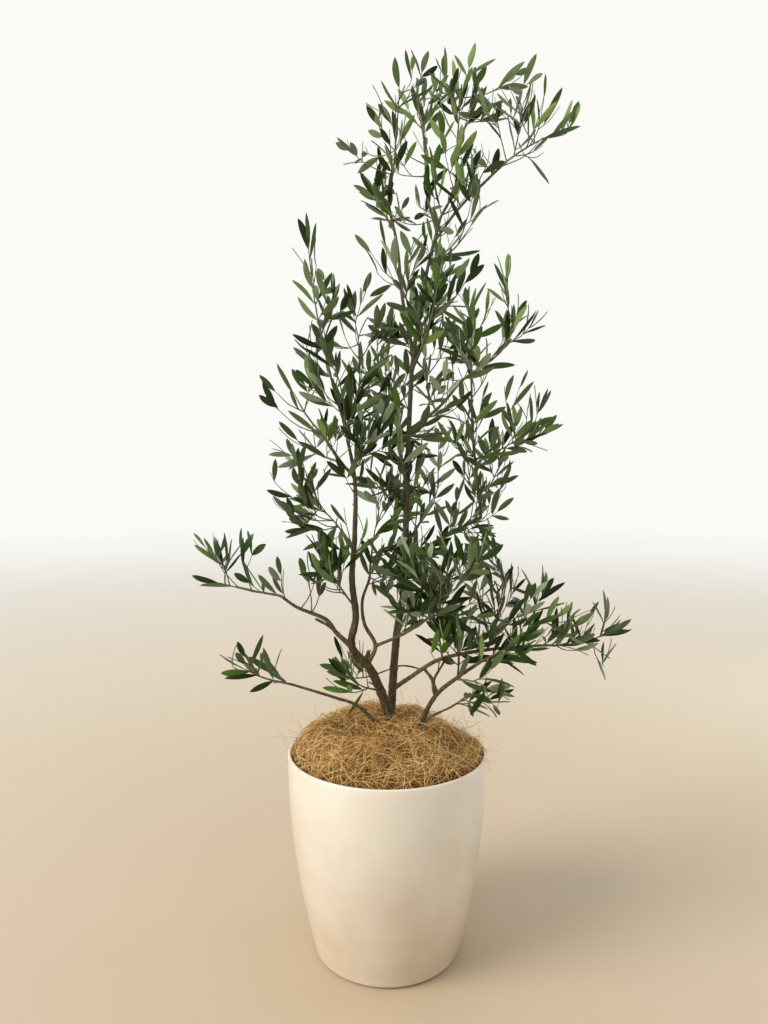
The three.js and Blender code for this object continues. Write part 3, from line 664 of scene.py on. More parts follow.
@dataclass(frozen=True)
class GlazedShell:
    """Gloss gel coat over moulded resin, off-white: soft mirror gloss, and a faint beige painted shade near the
    floor, standing in for the floor's shade and warm bounce there.
    """

    light: str = "#f5f1e8"
    warm: str = "#f1ebde"
    floor_shade: str = "#b6966a"
    floor_shade_height: float = 360.0
    floor_shade_share: tuple = (0.38, 0.58)
    cloud: float = 85.0
    polish: float = 30.0
    roughness: tuple = (0.13, 0.22)
    peel: float = 7.0
    peel_depth: float = 0.03

    def material(self) -> bpy.types.Material:
        """Builds the material.

        Returns:
            The material.
        """
        material, tree, shader, place = new_material(
            "gloss_gel_coat", IOR=1.5, Coat_Weight=0.35, Coat_Roughness=0.06
        )
        clouds, polish, peel = (
            add_node(
                tree, "ShaderNodeTexNoise", inputs={"Vector": place, "Scale": repeats(size), "Detail": detail}
            ).outputs[0]
            for size, detail in ((self.cloud, 3.0), (self.polish, 3.0), (self.peel, 1.0))
        )
        clean = add_node(
            tree, "ShaderNodeValToRGB", inputs={0: clouds}, stops=((0.35, self.light), (0.65, self.warm))
        )
        # Painted shade: a beige darkening from the floor up, broken up by the clouds, stands in for the shade and
        # warm bounce near the floor.
        height = add_node(tree, "ShaderNodeSeparateXYZ", inputs={0: place})
        low = add_node(
            tree, "ShaderNodeMapRange",
            inputs={"Value": height.outputs[2], "From Min": self.floor_shade_height * MM, "From Max": 0.0},
        )
        shade_clouding, roughness = (
            add_node(
                tree, "ShaderNodeMapRange",
                inputs={"Value": value, "From Min": 0.3, "From Max": 0.7, "To Min": span[0], "To Max": span[1]},
            ).outputs[0]
            for value, span in ((clouds, self.floor_shade_share), (polish, self.roughness))
        )
        share = add_node(tree, "ShaderNodeMath", {"operation": "MULTIPLY"}, {0: low.outputs[0], 1: shade_clouding})
        colour = add_node(
            tree, "ShaderNodeMix", {"data_type": "RGBA"},
            {0: share.outputs[0], "A": clean.outputs[0], "B": linear(self.floor_shade)},
        )
        dimples = add_node(
            tree, "ShaderNodeBump", inputs={"Height": peel, "Distance": self.peel_depth * MM, "Strength": 1.0}
        )
        tree.links.new(colour.outputs[2], shader.inputs["Base Color"])
        tree.links.new(roughness, shader.inputs["Roughness"])
        tree.links.new(dimples.outputs[0], shader.inputs["Normal"])
        return material


class FibreTone(Enum):
    """Tones of loose coconut fibre, as the darker and the paler sRGB colour of a tone."""

    DARK = ("#8f6030", "#b07d45")
    GOLD = ("#d8a352", "#edbc6e")
    LIGHT = ("#efca84", "#fbe3a8")


@dataclass(frozen=True)
class Mottled:
    """A dull natural finish in two or more colours that drift into each other, with or without relief."""

    def patchy(
        self, name: str, values: dict, grain: tuple, stops: Sequence, relief: float = 0.0
    ) -> bpy.types.Material:
        """Builds the material.

        Args:
            name: Its name.
            values: Plain values for the shader's inputs.
            grain: The patches' size in millimetres, their detail and their roughness.
            stops: (position, sRGB colour) from low to high.
            relief: Depth of the relief in millimetres.

        Returns:
            The material.
        """
        material, tree, shader, place = new_material(name, **values)
        size, detail, roughness = grain
        patches = add_node(
            tree, "ShaderNodeTexNoise",
            inputs={"Vector": place, "Scale": repeats(size), "Detail": detail, "Roughness": roughness},
        )
        colour = add_node(tree, "ShaderNodeValToRGB", inputs={0: patches.outputs[0]}, stops=stops)
        tree.links.new(colour.outputs[0], shader.inputs["Base Color"])
        if relief:
            bumps = add_node(
                tree, "ShaderNodeBump",
                inputs={"Height": patches.outputs[0], "Distance": relief * MM, "Strength": 1.0},
            )
            tree.links.new(bumps.outputs[0], shader.inputs["Normal"])
        return material


@dataclass(frozen=True)
class PottingSoil(Mottled):
    """Moist peat and bark compost: dark, crumbly, with no gloss."""

    dark: str = "#2a1d13"
    light: str = "#4d3a28"
    crumb: float = 4.0
    relief: float = 2.0

    def material(self) -> bpy.types.Material:
        """Builds the material, in crumbs."""
        stops = ((0.35, self.dark), (0.65, self.light))
        return self.patchy("potting_compost", {"Roughness": 0.95}, (self.crumb, 5.0, 0.7), stops, self.relief)


@dataclass(frozen=True)
class CoirFibre(Mottled):
    """Dry coconut fibre: dull, straw to brown, changing along each strand."""

    tone: FibreTone
    patch: float = 9.0

    def material(self) -> bpy.types.Material:
        """Builds the material of one tone."""
        name, stops = f"coir_{self.tone.name.lower()}", tuple(zip((0.36, 0.64), self.tone.value))
        return self.patchy(name, {"Roughness": 0.7, "IOR": 1.45}, (self.patch, 3.0, 0.5), stops)


@dataclass(frozen=True)
class ShadedCoirPile(Mottled):
    """The matted fibre below, coloured darker than the loose strands as painted shade: the dark brown that shows
    between the strands stands in for the shade down among them.
    """

    dark: str = "#482e17"
    light: str = "#9a6e3a"
    mat: float = 3.2
    relief: float = 2.5

    def material(self) -> bpy.types.Material:
        """Builds the material, as a mat."""
        # Painted shade: the dark brown stands in for the shade between the loose fibres.
        stops = ((0.38, self.dark), (0.66, self.light))
        return self.patchy("coir_mat", {"Roughness": 0.92}, (self.mat, 6.0, 0.75), stops, self.relief)


@dataclass(frozen=True)
class TwigBark(Mottled):
    """Bark of this year's twigs: thin, grey-green, with a dull bloom."""

    brown: str = "#554f34"
    green: str = "#626643"
    grey: str = "#7d7e63"
    patch: float = 28.0

    def material(self) -> bpy.types.Material:
        """Builds the material, in soft patches."""
        stops = ((0.34, self.brown), (0.5, self.green), (0.66, self.grey))
        return self.patchy("olive_twig", {"Roughness": 0.75}, (self.patch, 4.0, 0.5), stops)


class BarkAge(Enum):
    """Ages of olive bark: furrow, body, and weathered colours."""

    TRUNK = ("#2a1f12", "#493924", "#69593f")
    BOUGH = ("#3a2e1e", "#5f5036", "#857759")


@dataclass(frozen=True)
class YoungBark:
    """Young olive bark: smooth, grey-brown over green, with pale corky dots and fine lengthwise furrows.

    It is greener on young wood high up. The dots are drawn coarser than life, so that they show.
    """

    age: BarkAge
    furrow: float = 3.0
    furrow_depth: float = 0.5
    stretch: float = 0.22
    cloud: float = 46.0
    dot: float = 5.5
    dot_colour: str = "#b3a587"
    green: str = "#5f5d3d"
    young: str = "#53543a"
    young_from: float = 480.0
    young_at: float = 800.0
    young_share: float = 0.75

    def material(self) -> bpy.types.Material:
        """Builds the material.

        Returns:
            The material.
        """
        material, tree, shader, place = new_material(f"olive_bark_{self.age.name.lower()}", Roughness=0.82)
        long = add_node(tree, "ShaderNodeMapping", inputs={0: place, "Scale": (1.0, 1.0, self.stretch)})
        furrows = add_node(
            tree, "ShaderNodeTexNoise",
            inputs={"Vector": long.outputs[0], "Scale": repeats(self.furrow), "Detail": 5.0, "Roughness": 0.65},
        )
        base = add_node(
            tree, "ShaderNodeValToRGB", inputs={0: furrows.outputs[0]},
            stops=tuple(zip((0.32, 0.5, 0.68), self.age.value)),
        )
        cloud = add_node(
            tree, "ShaderNodeTexNoise", inputs={"Vector": place, "Scale": repeats(self.cloud), "Detail": 2.0}
        )
        height = add_node(tree, "ShaderNodeSeparateXYZ", inputs={0: place})
        cells = add_node(
            tree, "ShaderNodeTexVoronoi", {"feature": "F1"}, {"Vector": place, "Scale": repeats(self.dot)}
        )
        colour, shares = base.outputs[0], []
        for value, low, high, most, tint in (
            (cloud.outputs[0], 0.3, 0.7, 0.3, self.green),
            (height.outputs[2], self.young_from * MM, self.young_at * MM, self.young_share, self.young),
            (cells.outputs["Distance"], 0.16, 0.10, 0.8, self.dot_colour),
        ):
            share = add_node(
                tree, "ShaderNodeMapRange",
                inputs={"Value": value, "From Min": low, "From Max": high, "To Min": 0.0, "To Max": most},
            )
            shares.append(share.outputs[0])
            colour = add_node(
                tree, "ShaderNodeMix", {"data_type": "RGBA"},
                {0: share.outputs[0], "A": colour, "B": linear(tint)},
            ).outputs[2]
        level = add_node(tree, "ShaderNodeMath", {"operation": "ADD"}, {0: furrows.outputs[0], 1: shares[-1]})
        relief = add_node(
            tree, "ShaderNodeBump",
            inputs={"Height": level.outputs[0], "Distance": self.furrow_depth * MM, "Strength": 1.0},
        )
        tree.links.new(colour, shader.inputs["Base Color"])
        tree.links.new(relief.outputs[0], shader.inputs["Normal"])
        return material


@dataclass(frozen=True)
class OliveLeaf:
    """A leathery olive leaf: waxy green above, and silver with fine scales beneath."""

    tone: LeafTone
    wax_roughness: float = 0.27
    gloss: float = 0.4
    wax_tint: str = "#e9edc6"
    scale_roughness: float = 0.72
    vein: float = 5.0
    vein_depth: float = 0.12

    def side(self, name: str, code: str, roughness: float, sheen: float) -> bpy.types.Material:
        """Builds the material of one side.

        Args:
            name: Which side.
            code: Its sRGB colour.
            roughness: Its roughness.
            sheen: Weight of the silvery bloom.

        Returns:
            The material.
        """
        material, tree, shader, place = new_material(
            f"olive_leaf_{self.tone.name.lower()}_{name}", Base_Color=linear(code), Roughness=roughness,
            Specular_IOR_Level=self.gloss, Specular_Tint=linear(self.wax_tint), Sheen_Weight=sheen,
            Sheen_Roughness=0.5,
        )
        veins = add_node(
            tree, "ShaderNodeTexNoise", inputs={"Vector": place, "Scale": repeats(self.vein), "Detail": 2.0}
        )
        relief = add_node(
            tree, "ShaderNodeBump",
            inputs={"Height": veins.outputs[0], "Distance": self.vein_depth * MM, "Strength": 1.0},
        )
        tree.links.new(relief.outputs[0], shader.inputs["Normal"])
        return material

    def upper(self) -> bpy.types.Material:
        """Builds the waxy upper side."""
        return self.side("upper", self.tone.value[0], self.wax_roughness, 0.0)

    def under(self) -> bpy.types.Material:
        """Builds the silvery underside."""
        return self.side("under", self.tone.value[1], self.scale_roughness, 0.15)


class Limb:
    """A trunk or bough: its curve and its tapering radius."""

    def __init__(self, row: LimbRow, limbs: dict) -> None:
        """Grows the curve from the row.

        Args:
            row: The limb's row.
            limbs: The limbs grown before it, by name.
        """
        self.row = row
        self.path = Path(chain(root_points(row, limbs), row.runs))
        self.length = self.path.length

    def radius(self, share: float) -> float:
        """Works out the radius, with the flare of a foot on the soil.

        Args:
            share: Share of the length.

        Returns:
            The radius there.
        """
        foot, tip = self.row.thick
        radius = (tip + (foot - tip) * (1 - share) ** TAPER_POWER) / 2
        flare = FLARE if self.row.foot else 0.0
        return radius * (1 + flare * np.exp(-share * self.length / FLARE_HEIGHT))


def chain(points: list, runs: Iterable) -> list:
    """Adds a point after each straight run.

    Args:
        points: The points that a limb starts from.
        runs: Its runs, as in its row.

    Returns:
        All its points.
    """
    for length, lean, heading in runs:
        points.append(points[-1] + direction(lean, heading) * length)
    return points


def root_points(row: LimbRow, limbs: dict) -> list:
    """Where a limb or stem starts.

    Args:
        row: The limb's or stem's row.
        limbs: The limbs grown before it, by name.

    Returns:
        A point on the soil or inside the limb that it leaves, or two points just past a limb's tip.
    """
    if row.foot:
        return [np.array((*row.foot, SOIL_TOP + CLEARANCE), float)]
    if row.on:
        carrier = limbs[row.on]
        return [carrier.path.at(row.at / carrier.length)]
    carrier = limbs[row.after]
    tip, heading = carrier.path.at(1.0), carrier.path.tangent(1.0)
    lead = CLEARANCE + carrier.radius(1.0) * 2
    return [tip + heading * gap for gap in (CLEARANCE, lead)]


@dataclass
class Shoot:
    """A stem or twig: its line, its diameters at foot and tip, its sides, and the length of a step."""

    path: Path
    thick: tuple
    sides: int
    step: float


@dataclass
class Leaf:
    """One leaf: where it springs from, which way it points and faces, and its size.

    OUTLINE is points as shares of its length, half its width and its arch.
    """

    OUTLINE = (
        (0.3, 0.0, 0.84), (0.5, 1.0, 1.0), (0.5, -1.0, 1.0), (0.75, 0.6, 0.75), (0.75, -0.6, 0.75), (1.0, 0.0, 0.0),
    )

    root: np.ndarray
    along: np.ndarray
    facing: np.ndarray
    length: float
    width: float
    arch: float
    sway: float
    tone: LeafTone

    def frame(self) -> tuple:
        """The directions along, across and out of the leaf."""
        across = unit(np.cross(self.facing, self.along))
        return self.along, across, np.cross(self.along, across)

    def outline(self) -> np.ndarray:
        """Works out where the leaf reaches.

        Returns:
            Points round its outline, past the part near the root.
        """
        along, across, normal = self.frame()
        x, y, z = np.array(self.OUTLINE).T[..., None]
        out = y * self.width / 2 + self.sway * self.length * 4 * x * (1 - x)
        return self.root + along * (x * self.length) + across * out + normal * (z * self.arch * self.length)


class Spaces:
    """Tells whose space a point is in: each mass holds what is nearer to its stem than to any other's."""

    STEP = 14.0
    BEYOND = 8.0
    RISE = 4.0

    def __init__(self, masses: list, limbs: dict) -> None:
        """Cuts stems and limbs into straight pieces.

        Args:
            masses: (row, stem path) of every mass.
            limbs: The limbs, by name.
        """
        spines = [path.spaced(len(row.runs) + 1) for row, path in masses]
        self.stems = self.pieces(spines)
        self.owners = np.repeat(np.arange(len(spines)), [len(spine) - 1 for spine in spines])
        spines = [limb.path.spaced(max(4, int(limb.length / self.STEP))) for limb in limbs.values()]
        self.limbs = self.pieces(spines)
        self.radii = np.concatenate(
            [limb.radius(np.linspace(0, 1, len(spine))[:-1]) for limb, spine in zip(limbs.values(), spines)]
        )

    @staticmethod
    def pieces(spines: list) -> tuple:
        """Gathers the starts and the ends of the straight pieces of lines."""
        return np.vstack([spine[:-1] for spine in spines]), np.vstack([spine[1:] for spine in spines])

    @staticmethod
    def distances(points: np.ndarray, pieces: tuple) -> np.ndarray:
        """Measures how far points are from straight pieces.

        Args:
            points: The points.
            pieces: The pieces' starts and ends.

        Returns:
            The distance from each point to each piece.
        """
        start, span = pieces[0], pieces[1] - pieces[0]
        offset = points[:, None, :] - start
        share = np.clip((offset * span).sum(-1) / (span * span).sum(-1), 0, 1)
        return np.linalg.norm(offset - share[..., None] * span, axis=-1)

    def owned(self, points: np.ndarray, margin: float, owner: int, crossing: float) -> bool:
        """Tells whether points may be a mass's own.

        Args:
            points: The points.
            margin: Least distance from limbs and mulch.
            owner: The mass.
            crossing: How far past its border they may be.

        Returns:
            True if all are clear and near enough to its space.
        """
        stems = self.distances(points, self.stems)
        own = stems[:, self.owners == owner].min(axis=1)
        others = stems[:, self.owners != owner].min(axis=1)
        return bool((others - own >= -2 * crossing).all()) and self.free(points, margin)

    def free(self, points: np.ndarray, margin: float) -> bool:
        """Tells whether points are within the solids' reach and clear of the limbs and the mulch.

        Args:
            points: The points.
            margin: Least distance from limbs and mulch.

        Returns:
            True if all are.
        """
        limbs = (self.distances(points, self.limbs) - self.radii).min(axis=1)
        radius = np.hypot(points[:, 0], points[:, 1])
        clear = (radius > RIM_RADIUS + margin) | (points[:, 2] > mound_level(radius) + self.RISE + margin)
        low, high = (np.array(corner) / MM for corner in CAD_BOX)
        inside = (points > low - self.BEYOND).all() and (points < high + self.BEYOND).all()
        return bool(inside and (limbs >= margin).all() and clear.all())


class Taken:
    """Keeps leaves from growing through each other."""

    NEAR = 60.0

    def __init__(self, gap: float) -> None:
        """Starts with nothing taken, and the least gap between two leaves' points."""
        self.gap = gap
        self.points = np.zeros((0, 3))

    def take(self, points: np.ndarray) -> bool:
        """Takes a leaf's place, if it is clear of every leaf before.

        Args:
            points: The leaf's points.

        Returns:
            True if it was clear.
        """
        close = self.points[np.abs(self.points - points.mean(axis=0)).max(axis=1) < self.NEAR]
        if len(close) and np.linalg.norm(close[:, None, :] - points, axis=-1).min() < self.gap:
            return False
        self.points = np.vstack((self.points, points))
        return True


def mound_level(radius: np.ndarray) -> np.ndarray:
    """Height of the mulch at a distance from the middle."""
    share = np.minimum(1, np.asarray(radius, float) / (RIM_RADIUS - WALL))
    return SOIL_TOP + MOUND_EDGE + (MOUND_HEIGHT - MOUND_EDGE) * (1 - share**MOUND_POWER)


def sideways(tangent: np.ndarray, turn: float) -> np.ndarray:
    """Works out a direction square to a shoot.

    Args:
        tangent: The shoot's direction.
        turn: Turn round the shoot in degrees.

    Returns:
        The direction.
    """
    level = np.cross(tangent, UP)
    level = unit(level) if np.linalg.norm(level) > 1e-2 else np.array((1.0, 0.0, 0.0))
    angle = math.radians(turn)
    return level * math.cos(angle) + np.cross(tangent, level) * math.sin(angle)


def splayed(tangent: np.ndarray, side: np.ndarray, angle: float, lift: float) -> np.ndarray:
    """A direction that leaves a shoot at an angle in degrees and turns up by a share."""
    spread = math.radians(angle)
    return unit(tangent * math.cos(spread) + side * math.sin(spread) + UP * lift)


def seen(point: np.ndarray) -> tuple:
    """Where a point shows on the upright plane through the trunk, for eyes in front of the tree."""
    nearer = VIEW_DISTANCE / (VIEW_DISTANCE + point[1])
    return point[0] * nearer, VIEW_HEIGHT + (point[2] - VIEW_HEIGHT) * nearer


@dataclass
class Crown:
    """All that grows from the limbs: stems, twigs and leaves, by the rule of the solids carried further.

    Sizes are in millimetres and angles in degrees. Shares of two values are from the foot to the tip.
    """

    first_node: float = 9.0
    last_node: float = 7.0
    stem_thick: tuple = (3.4, 1.3)
    node_gap: float = 20.0
    twig_share: float = 0.35
    twig_angle: float = 46.0
    twig_lift: float = 0.25
    twig_lengths: tuple = (1.1, 2.5)
    twig_shortening: tuple = (1.2, 0.75)
    twig_thick: tuple = (1.9, 0.9)
    twig_upturn: float = 0.45
    twig_first_leaf: float = 8.0
    twig_last_leaf: float = 3.0
    leaf_gap: float = 18.0
    pair_turn: float = 90.0
    turn_jitter: float = 34.0
    leaf_length: float = 50.0
    leaf_width: float = 9.4
    leaf_angle: float = 40.0
    leaf_lift: float = 0.22
    leaf_sink: float = 0.4
    leaf_arch: tuple = (-0.015, 0.085)
    leaf_sway: tuple = (-0.045, 0.045)
    leaf_apart: float = 3.2
    tip_leaf: tuple = (0.72, 16.0)
    stem_tip_leaves: tuple = ((0, 0.8, 18.0), (180, 0.8, 18.0), (90, 0.95, 6.0))
    branch_length: float = 56.0
    branch_at: tuple = (0.3, 0.55)
    branch_share: tuple = (0.45, 0.6)
    crossing: float = 22.0
    spur_gap: float = 44.0
    spur_levels: tuple = (570.0, 860.0)
    spur_lengths: tuple = (26.0, 58.0)
    spur_turn: float = 137.5
    spur_end: float = 12.0
    fill_reach: tuple = (20.0, 100.0)
    fill_tries: int = 16
    fill_edge: float = 1.25
    fill_depth: float = 70.0
    fill_overshoot: float = 1.12
    fill_tip_rise: float = 12.0
    seeds: tuple = (900, 500, 700)
    shoots: list = field(default_factory=list)
    leaves: list = field(default_factory=list)

    def __post_init__(self) -> None:
        """Grows the limbs and the masses' stems, and then every mass."""
        self.limbs: dict = {}
        for row in LIMBS:
            self.limbs[row.name] = Limb(row, self.limbs)
        self.offshoots = [(row, self.offshoot_path(row)) for row in OFFSHOOTS]
        self.masses = [(row, Path(chain(root_points(row, self.limbs), row.runs))) for row in MASSES]
        self.spaces = Spaces(self.masses, self.limbs)
        self.taken = Taken(self.leaf_apart)
        sky_seed, spur_seed, fill_seed = self.seeds
        self.dice = SeededRandom(sky_seed)
        self.filling: Optional[Spot] = None
        for index in range(len(self.masses)):
            self.grow_mass(index)
        for index, limb in enumerate(self.limbs.values()):
            self.grow_spurs(limb, SeededRandom(spur_seed + index))
        for index, spot in enumerate(THICK_SPOTS):
            self.filling = spot
            self.thicken(spot, SeededRandom(fill_seed + index))

    def offshoot_path(self, row: OffshootRow) -> Path:
        """Works out a thin side branch.

        Args:
            row: Its row.

        Returns:
            Its line, from the middle of its limb.
        """
        points = [self.limbs[row.limb].path.at(row.share), *(np.array(point) for point in row.points)]
        if row.end:
            points.append(self.limbs[row.end[0]].path.at(row.end[1]))
        return Path(points)

    def tone(self, random: SeededRandom, share: float) -> LeafTone:
        """Deals a spray its colour: fresher towards the tips.

        Args:
            random: The row of draws.
            share: How far along its shoot the spray is.

        Returns:
            The tone.
        """
        draw = random()
        if draw < mix(0.08, 0.34, share):
            return LeafTone.FRESH
        if draw < 0.48:
            return LeafTone.GREY if random() < 0.42 else LeafTone.DEEP
        return LeafTone.OLIVE if random() < 0.55 else LeafTone.DEEP

    def make_leaf(
        self, point: np.ndarray, tangent: np.ndarray, side: np.ndarray, random: SeededRandom, tone: LeafTone,
        size: float = 1.0, angle: Optional[float] = None,
    ) -> Leaf:
        """Makes one leaf.

        Args:
            point: Where it springs from, in the middle of its shoot.
            tangent: The shoot's direction there.
            side: The side of the shoot that it is on.
            random: The mass's row of draws.
            tone: The spray's colour.
            size: Its share of a full leaf's length.
            angle: How far it leans from the shoot, if not as usual.

        Returns:
            The leaf.
        """
        spread = self.leaf_angle * mix(0.6, 1.5, random()) if angle is None else angle
        along = splayed(tangent, side, spread, self.leaf_lift)
        length = self.leaf_length * mix(0.74, 1.16, random()) * size
        width = self.leaf_width * mix(0.82, 1.14, random()) * mix(0.8, 1.0, size)
        stray = direction(mix(40.0, 110.0, random()), 360 * random())
        outward = np.array((point[0], point[1], 0.0)) / 120
        facing = unit(outward * 0.6 + UP * 0.3 + stray * 0.9)
        arch, sway = mix(*self.leaf_arch, random()), mix(*self.leaf_sway, random())
        return Leaf(point - along * self.leaf_sink, along, facing, length, width, arch, sway, tone)

    def sky(self, point: np.ndarray) -> bool:
        """Tells whether a leaf is left out so that the sky of the photograph shows.

        Args:
            point: Where the leaf is.

        Returns:
            True if it is left out.
        """
        x, z = seen(point)
        share = 1.0
        for spot in SKY_GAPS:
            apart = math.hypot(x - spot.x, z - spot.z) / spot.radius
            share *= mix(spot.amount, 1.0, min(1.0, max(0.0, (apart - 0.7) / 0.6)))
        return self.dice() > share

    def within(self, point: np.ndarray) -> bool:
        """True where a leaf is in the spot that is being filled, or none is."""
        spot, (x, z) = self.filling, seen(point)
        return spot is None or math.hypot(x - spot.x, z - spot.z) < spot.radius * self.fill_edge

    def keep(self, leaf: Leaf, owner: Optional[int]) -> bool:
        """Keeps a leaf if it is in its mass's space and clear of every other leaf.

        Args:
            leaf: The leaf.
            owner: Its mass, or None for a leaf on a spur.

        Returns:
            True if it is kept.
        """
        points = leaf.outline()
        if self.sky(points[1]) or not self.within(points[1]):
            return False
        if owner is None:
            fits = self.spaces.free(points, 1.0)
        else:
            fits = self.spaces.owned(points, 0.4, owner, self.crossing)
        if not (fits and self.taken.take(points)):
            return False
        self.leaves.append(leaf)
        return True

    def dress(self, path: Path, turn: float, random: SeededRandom, owner: Optional[int], tone: LeafTone) -> int:
        """Puts opposite pairs of leaves along a twig, and leaves at its tip.

        Args:
            path: The twig's line.
            turn: Turn of its first pair.
            random: The mass's row of draws.
            owner: The mass, or None.
            tone: The spray's colour.

        Returns:
            How many leaves were kept.
        """
        kept = 0
        along = self.twig_first_leaf
        while along < path.length - self.twig_last_leaf:
            share = along / path.length
            point, tangent = path.at(share), path.tangent(share)
            for half in (0, 180):
                side = sideways(tangent, turn + half)
                leaf = self.make_leaf(point, tangent, side, random, tone, mix(1.0, 0.8, share))
                kept += self.keep(leaf, owner)
            along += self.leaf_gap * mix(0.85, 1.2, random())
            turn += self.pair_turn + self.turn_jitter * (random() - 0.5)
        point, tangent = path.at(1.0), path.tangent(1.0)
        for half in (0, 180):
            leaf = self.make_leaf(point, tangent, sideways(tangent, turn + half), random, tone, *self.tip_leaf)
            kept += self.keep(leaf, owner)
        return kept

    def twig_path(self, point: np.ndarray, tangent: np.ndarray, side: np.ndarray, length: float) -> Path:
        """Works out a twig that leaves its shoot at an angle and bends up towards the light.

        Args:
            point: Where it springs from.
            tangent: The shoot's direction there.
            side: The side of the shoot that it is on.
            length: Its length.

        Returns:
            Its line.
        """
        start = splayed(tangent, side, self.twig_angle, self.twig_lift)
        end = unit(start + UP * self.twig_upturn)
        middle = point + start * (length * 0.5)
        return Path((point, middle, middle + end * (length * 0.5)))

    def grow_twig(
        self, path: Path, turn: float, random: SeededRandom, owner: Optional[int], tone: LeafTone, thick: tuple
    ) -> bool:
        """Grows one twig with its leaves and, if it is long, a finer twig.

        Args:
            path: The twig's line.
            turn: Turn of its first pair.
            random: The row of draws.
            owner: The mass, or None.
            tone: The spray's colour.
            thick: Diameter at the foot and tip.

        Returns:
            True if the twig has leaves and is kept.
        """
        points = path.at(np.array((0.4, 0.7, 1.0)))
        if owner is None:
            fits = self.spaces.free(points, 0.8)
        else:
            fits = self.spaces.owned(points, 0.6, owner, self.crossing / 2)
        if not fits or not self.dress(path, turn, random, owner, tone):
            return False
        self.shoots.append(Shoot(path, thick, 4, 7.0))
        if path.length > self.branch_length:
            share = mix(*self.branch_at, random())
            point, tangent = path.at(share), path.tangent(share)
            length = path.length * mix(*self.branch_share, random())
            finer = self.twig_path(point, tangent, sideways(tangent, turn + 90), length)
            self.grow_twig(finer, turn + 45, random, owner, tone, (thick[0] * 0.75, thick[1]))
        return True

    def grow_mass(self, index: int) -> None:
        """Grows a mass from its stem.

        Args:
            index: The mass's place among the masses.
        """
        row, path = self.masses[index]
        random = SeededRandom(index + 1)
        spray = self.tone(random, 0.4)
        foot, tip = self.stem_thick
        if row.after:
            foot = self.limbs[row.after].row.thick[1]
        self.shoots.append(Shoot(path, (foot, tip), 6, 5.0))
        turn = 360 * random()
        along = self.first_node
        while along < path.length - self.last_node:
            share = along / path.length
            point, tangent = path.at(share), path.tangent(share)
            tone = self.tone(random, share)
            for half in (0, 180):
                side = sideways(tangent, turn + half)
                length = row.reach * mix(*self.twig_lengths, random()) * mix(*self.twig_shortening, share)
                grown = False
                if random() < self.twig_share:
                    twig = self.twig_path(point, tangent, side, length)
                    grown = self.grow_twig(twig, turn + 45, random, index, tone, self.twig_thick)
                if not grown or random() < 0.5:
                    self.keep(self.make_leaf(point, tangent, side, random, tone), index)
            along += self.node_gap * mix(0.85, 1.15, random())
            turn += self.pair_turn + self.turn_jitter * (random() - 0.5)
        point, tangent = path.at(1.0), path.tangent(1.0)
        for half, size, angle in self.stem_tip_leaves:
            leaf = self.make_leaf(point, tangent, sideways(tangent, turn + half), random, spray, size, angle)
            self.keep(leaf, index)

    def grow_spurs(self, limb: Limb, random: SeededRandom) -> None:
        """Grows short leafy spurs straight from a limb, where the crown is thick.

        Args:
            limb: The limb.
            random: Its row of draws.
        """
        low, high = self.spur_levels
        turn = 360 * random()
        along = self.spur_gap * mix(0.5, 1.0, random())
        while along < limb.length - self.spur_end:
            share = along / limb.length
            point, tangent = limb.path.at(share), limb.path.tangent(share)
            if low < point[2] < high:
                side = sideways(tangent, turn)
                path = self.twig_path(point, tangent, side, mix(*self.spur_lengths, random()))
                tone = self.tone(random, 0.1)
                self.grow_twig(path, turn + 45, random, None, tone, self.twig_thick)
            along += self.spur_gap * mix(0.7, 1.3, random())
            turn += self.spur_turn

    def thicken(self, spot: Spot, random: SeededRandom) -> None:
        """Grows twigs into a spot from the stems and limbs round it.

        Args:
            spot: Where, and how many twigs.
            random: Its row of draws.
        """
        shares = np.linspace(0.08, 0.97, 14)
        lines = [path for _, path in self.masses + self.offshoots] + [limb.path for limb in self.limbs.values()]
        roots = [(line.at(share), line.tangent(share)) for line in lines for share in shares]
        grown = tried = 0
        while grown < spot.amount and tried < spot.amount * self.fill_tries:
            tried += 1
            out, turn = spot.radius * math.sqrt(random()), 2 * math.pi * random()
            x, z = spot.x + out * math.cos(turn), spot.z + out * math.sin(turn)
            depth = self.fill_depth * (random() - 0.5)
            near = []
            for point, tangent in roots:
                farther = (VIEW_DISTANCE + point[1] + depth) / VIEW_DISTANCE
                goal = np.array((x * farther, point[1] + depth, VIEW_HEIGHT + (z - VIEW_HEIGHT) * farther))
                span = goal - point
                apart = float(np.linalg.norm(span))
                if self.fill_reach[0] < apart < self.fill_reach[1] and np.dot(span, tangent) > -0.1 * apart:
                    near.append((apart * (1.4 if span[2] < 0 else 1.0), point, span))
            if not near:
                continue
            near.sort(key=lambda item: item[0])
            _, point, span = near[int(random() * min(5, len(near)))]
            bow = np.cross(span, UP) * (0.3 * (random() - 0.5)) - UP * (0.1 * np.linalg.norm(span))
            tip = point + span * self.fill_overshoot + UP * self.fill_tip_rise
            path = Path((point, point + span * 0.5 + bow, point + span, tip))
            grown += self.grow_twig(path, 360 * random(), random, None, self.tone(random, 0.5), self.twig_thick)


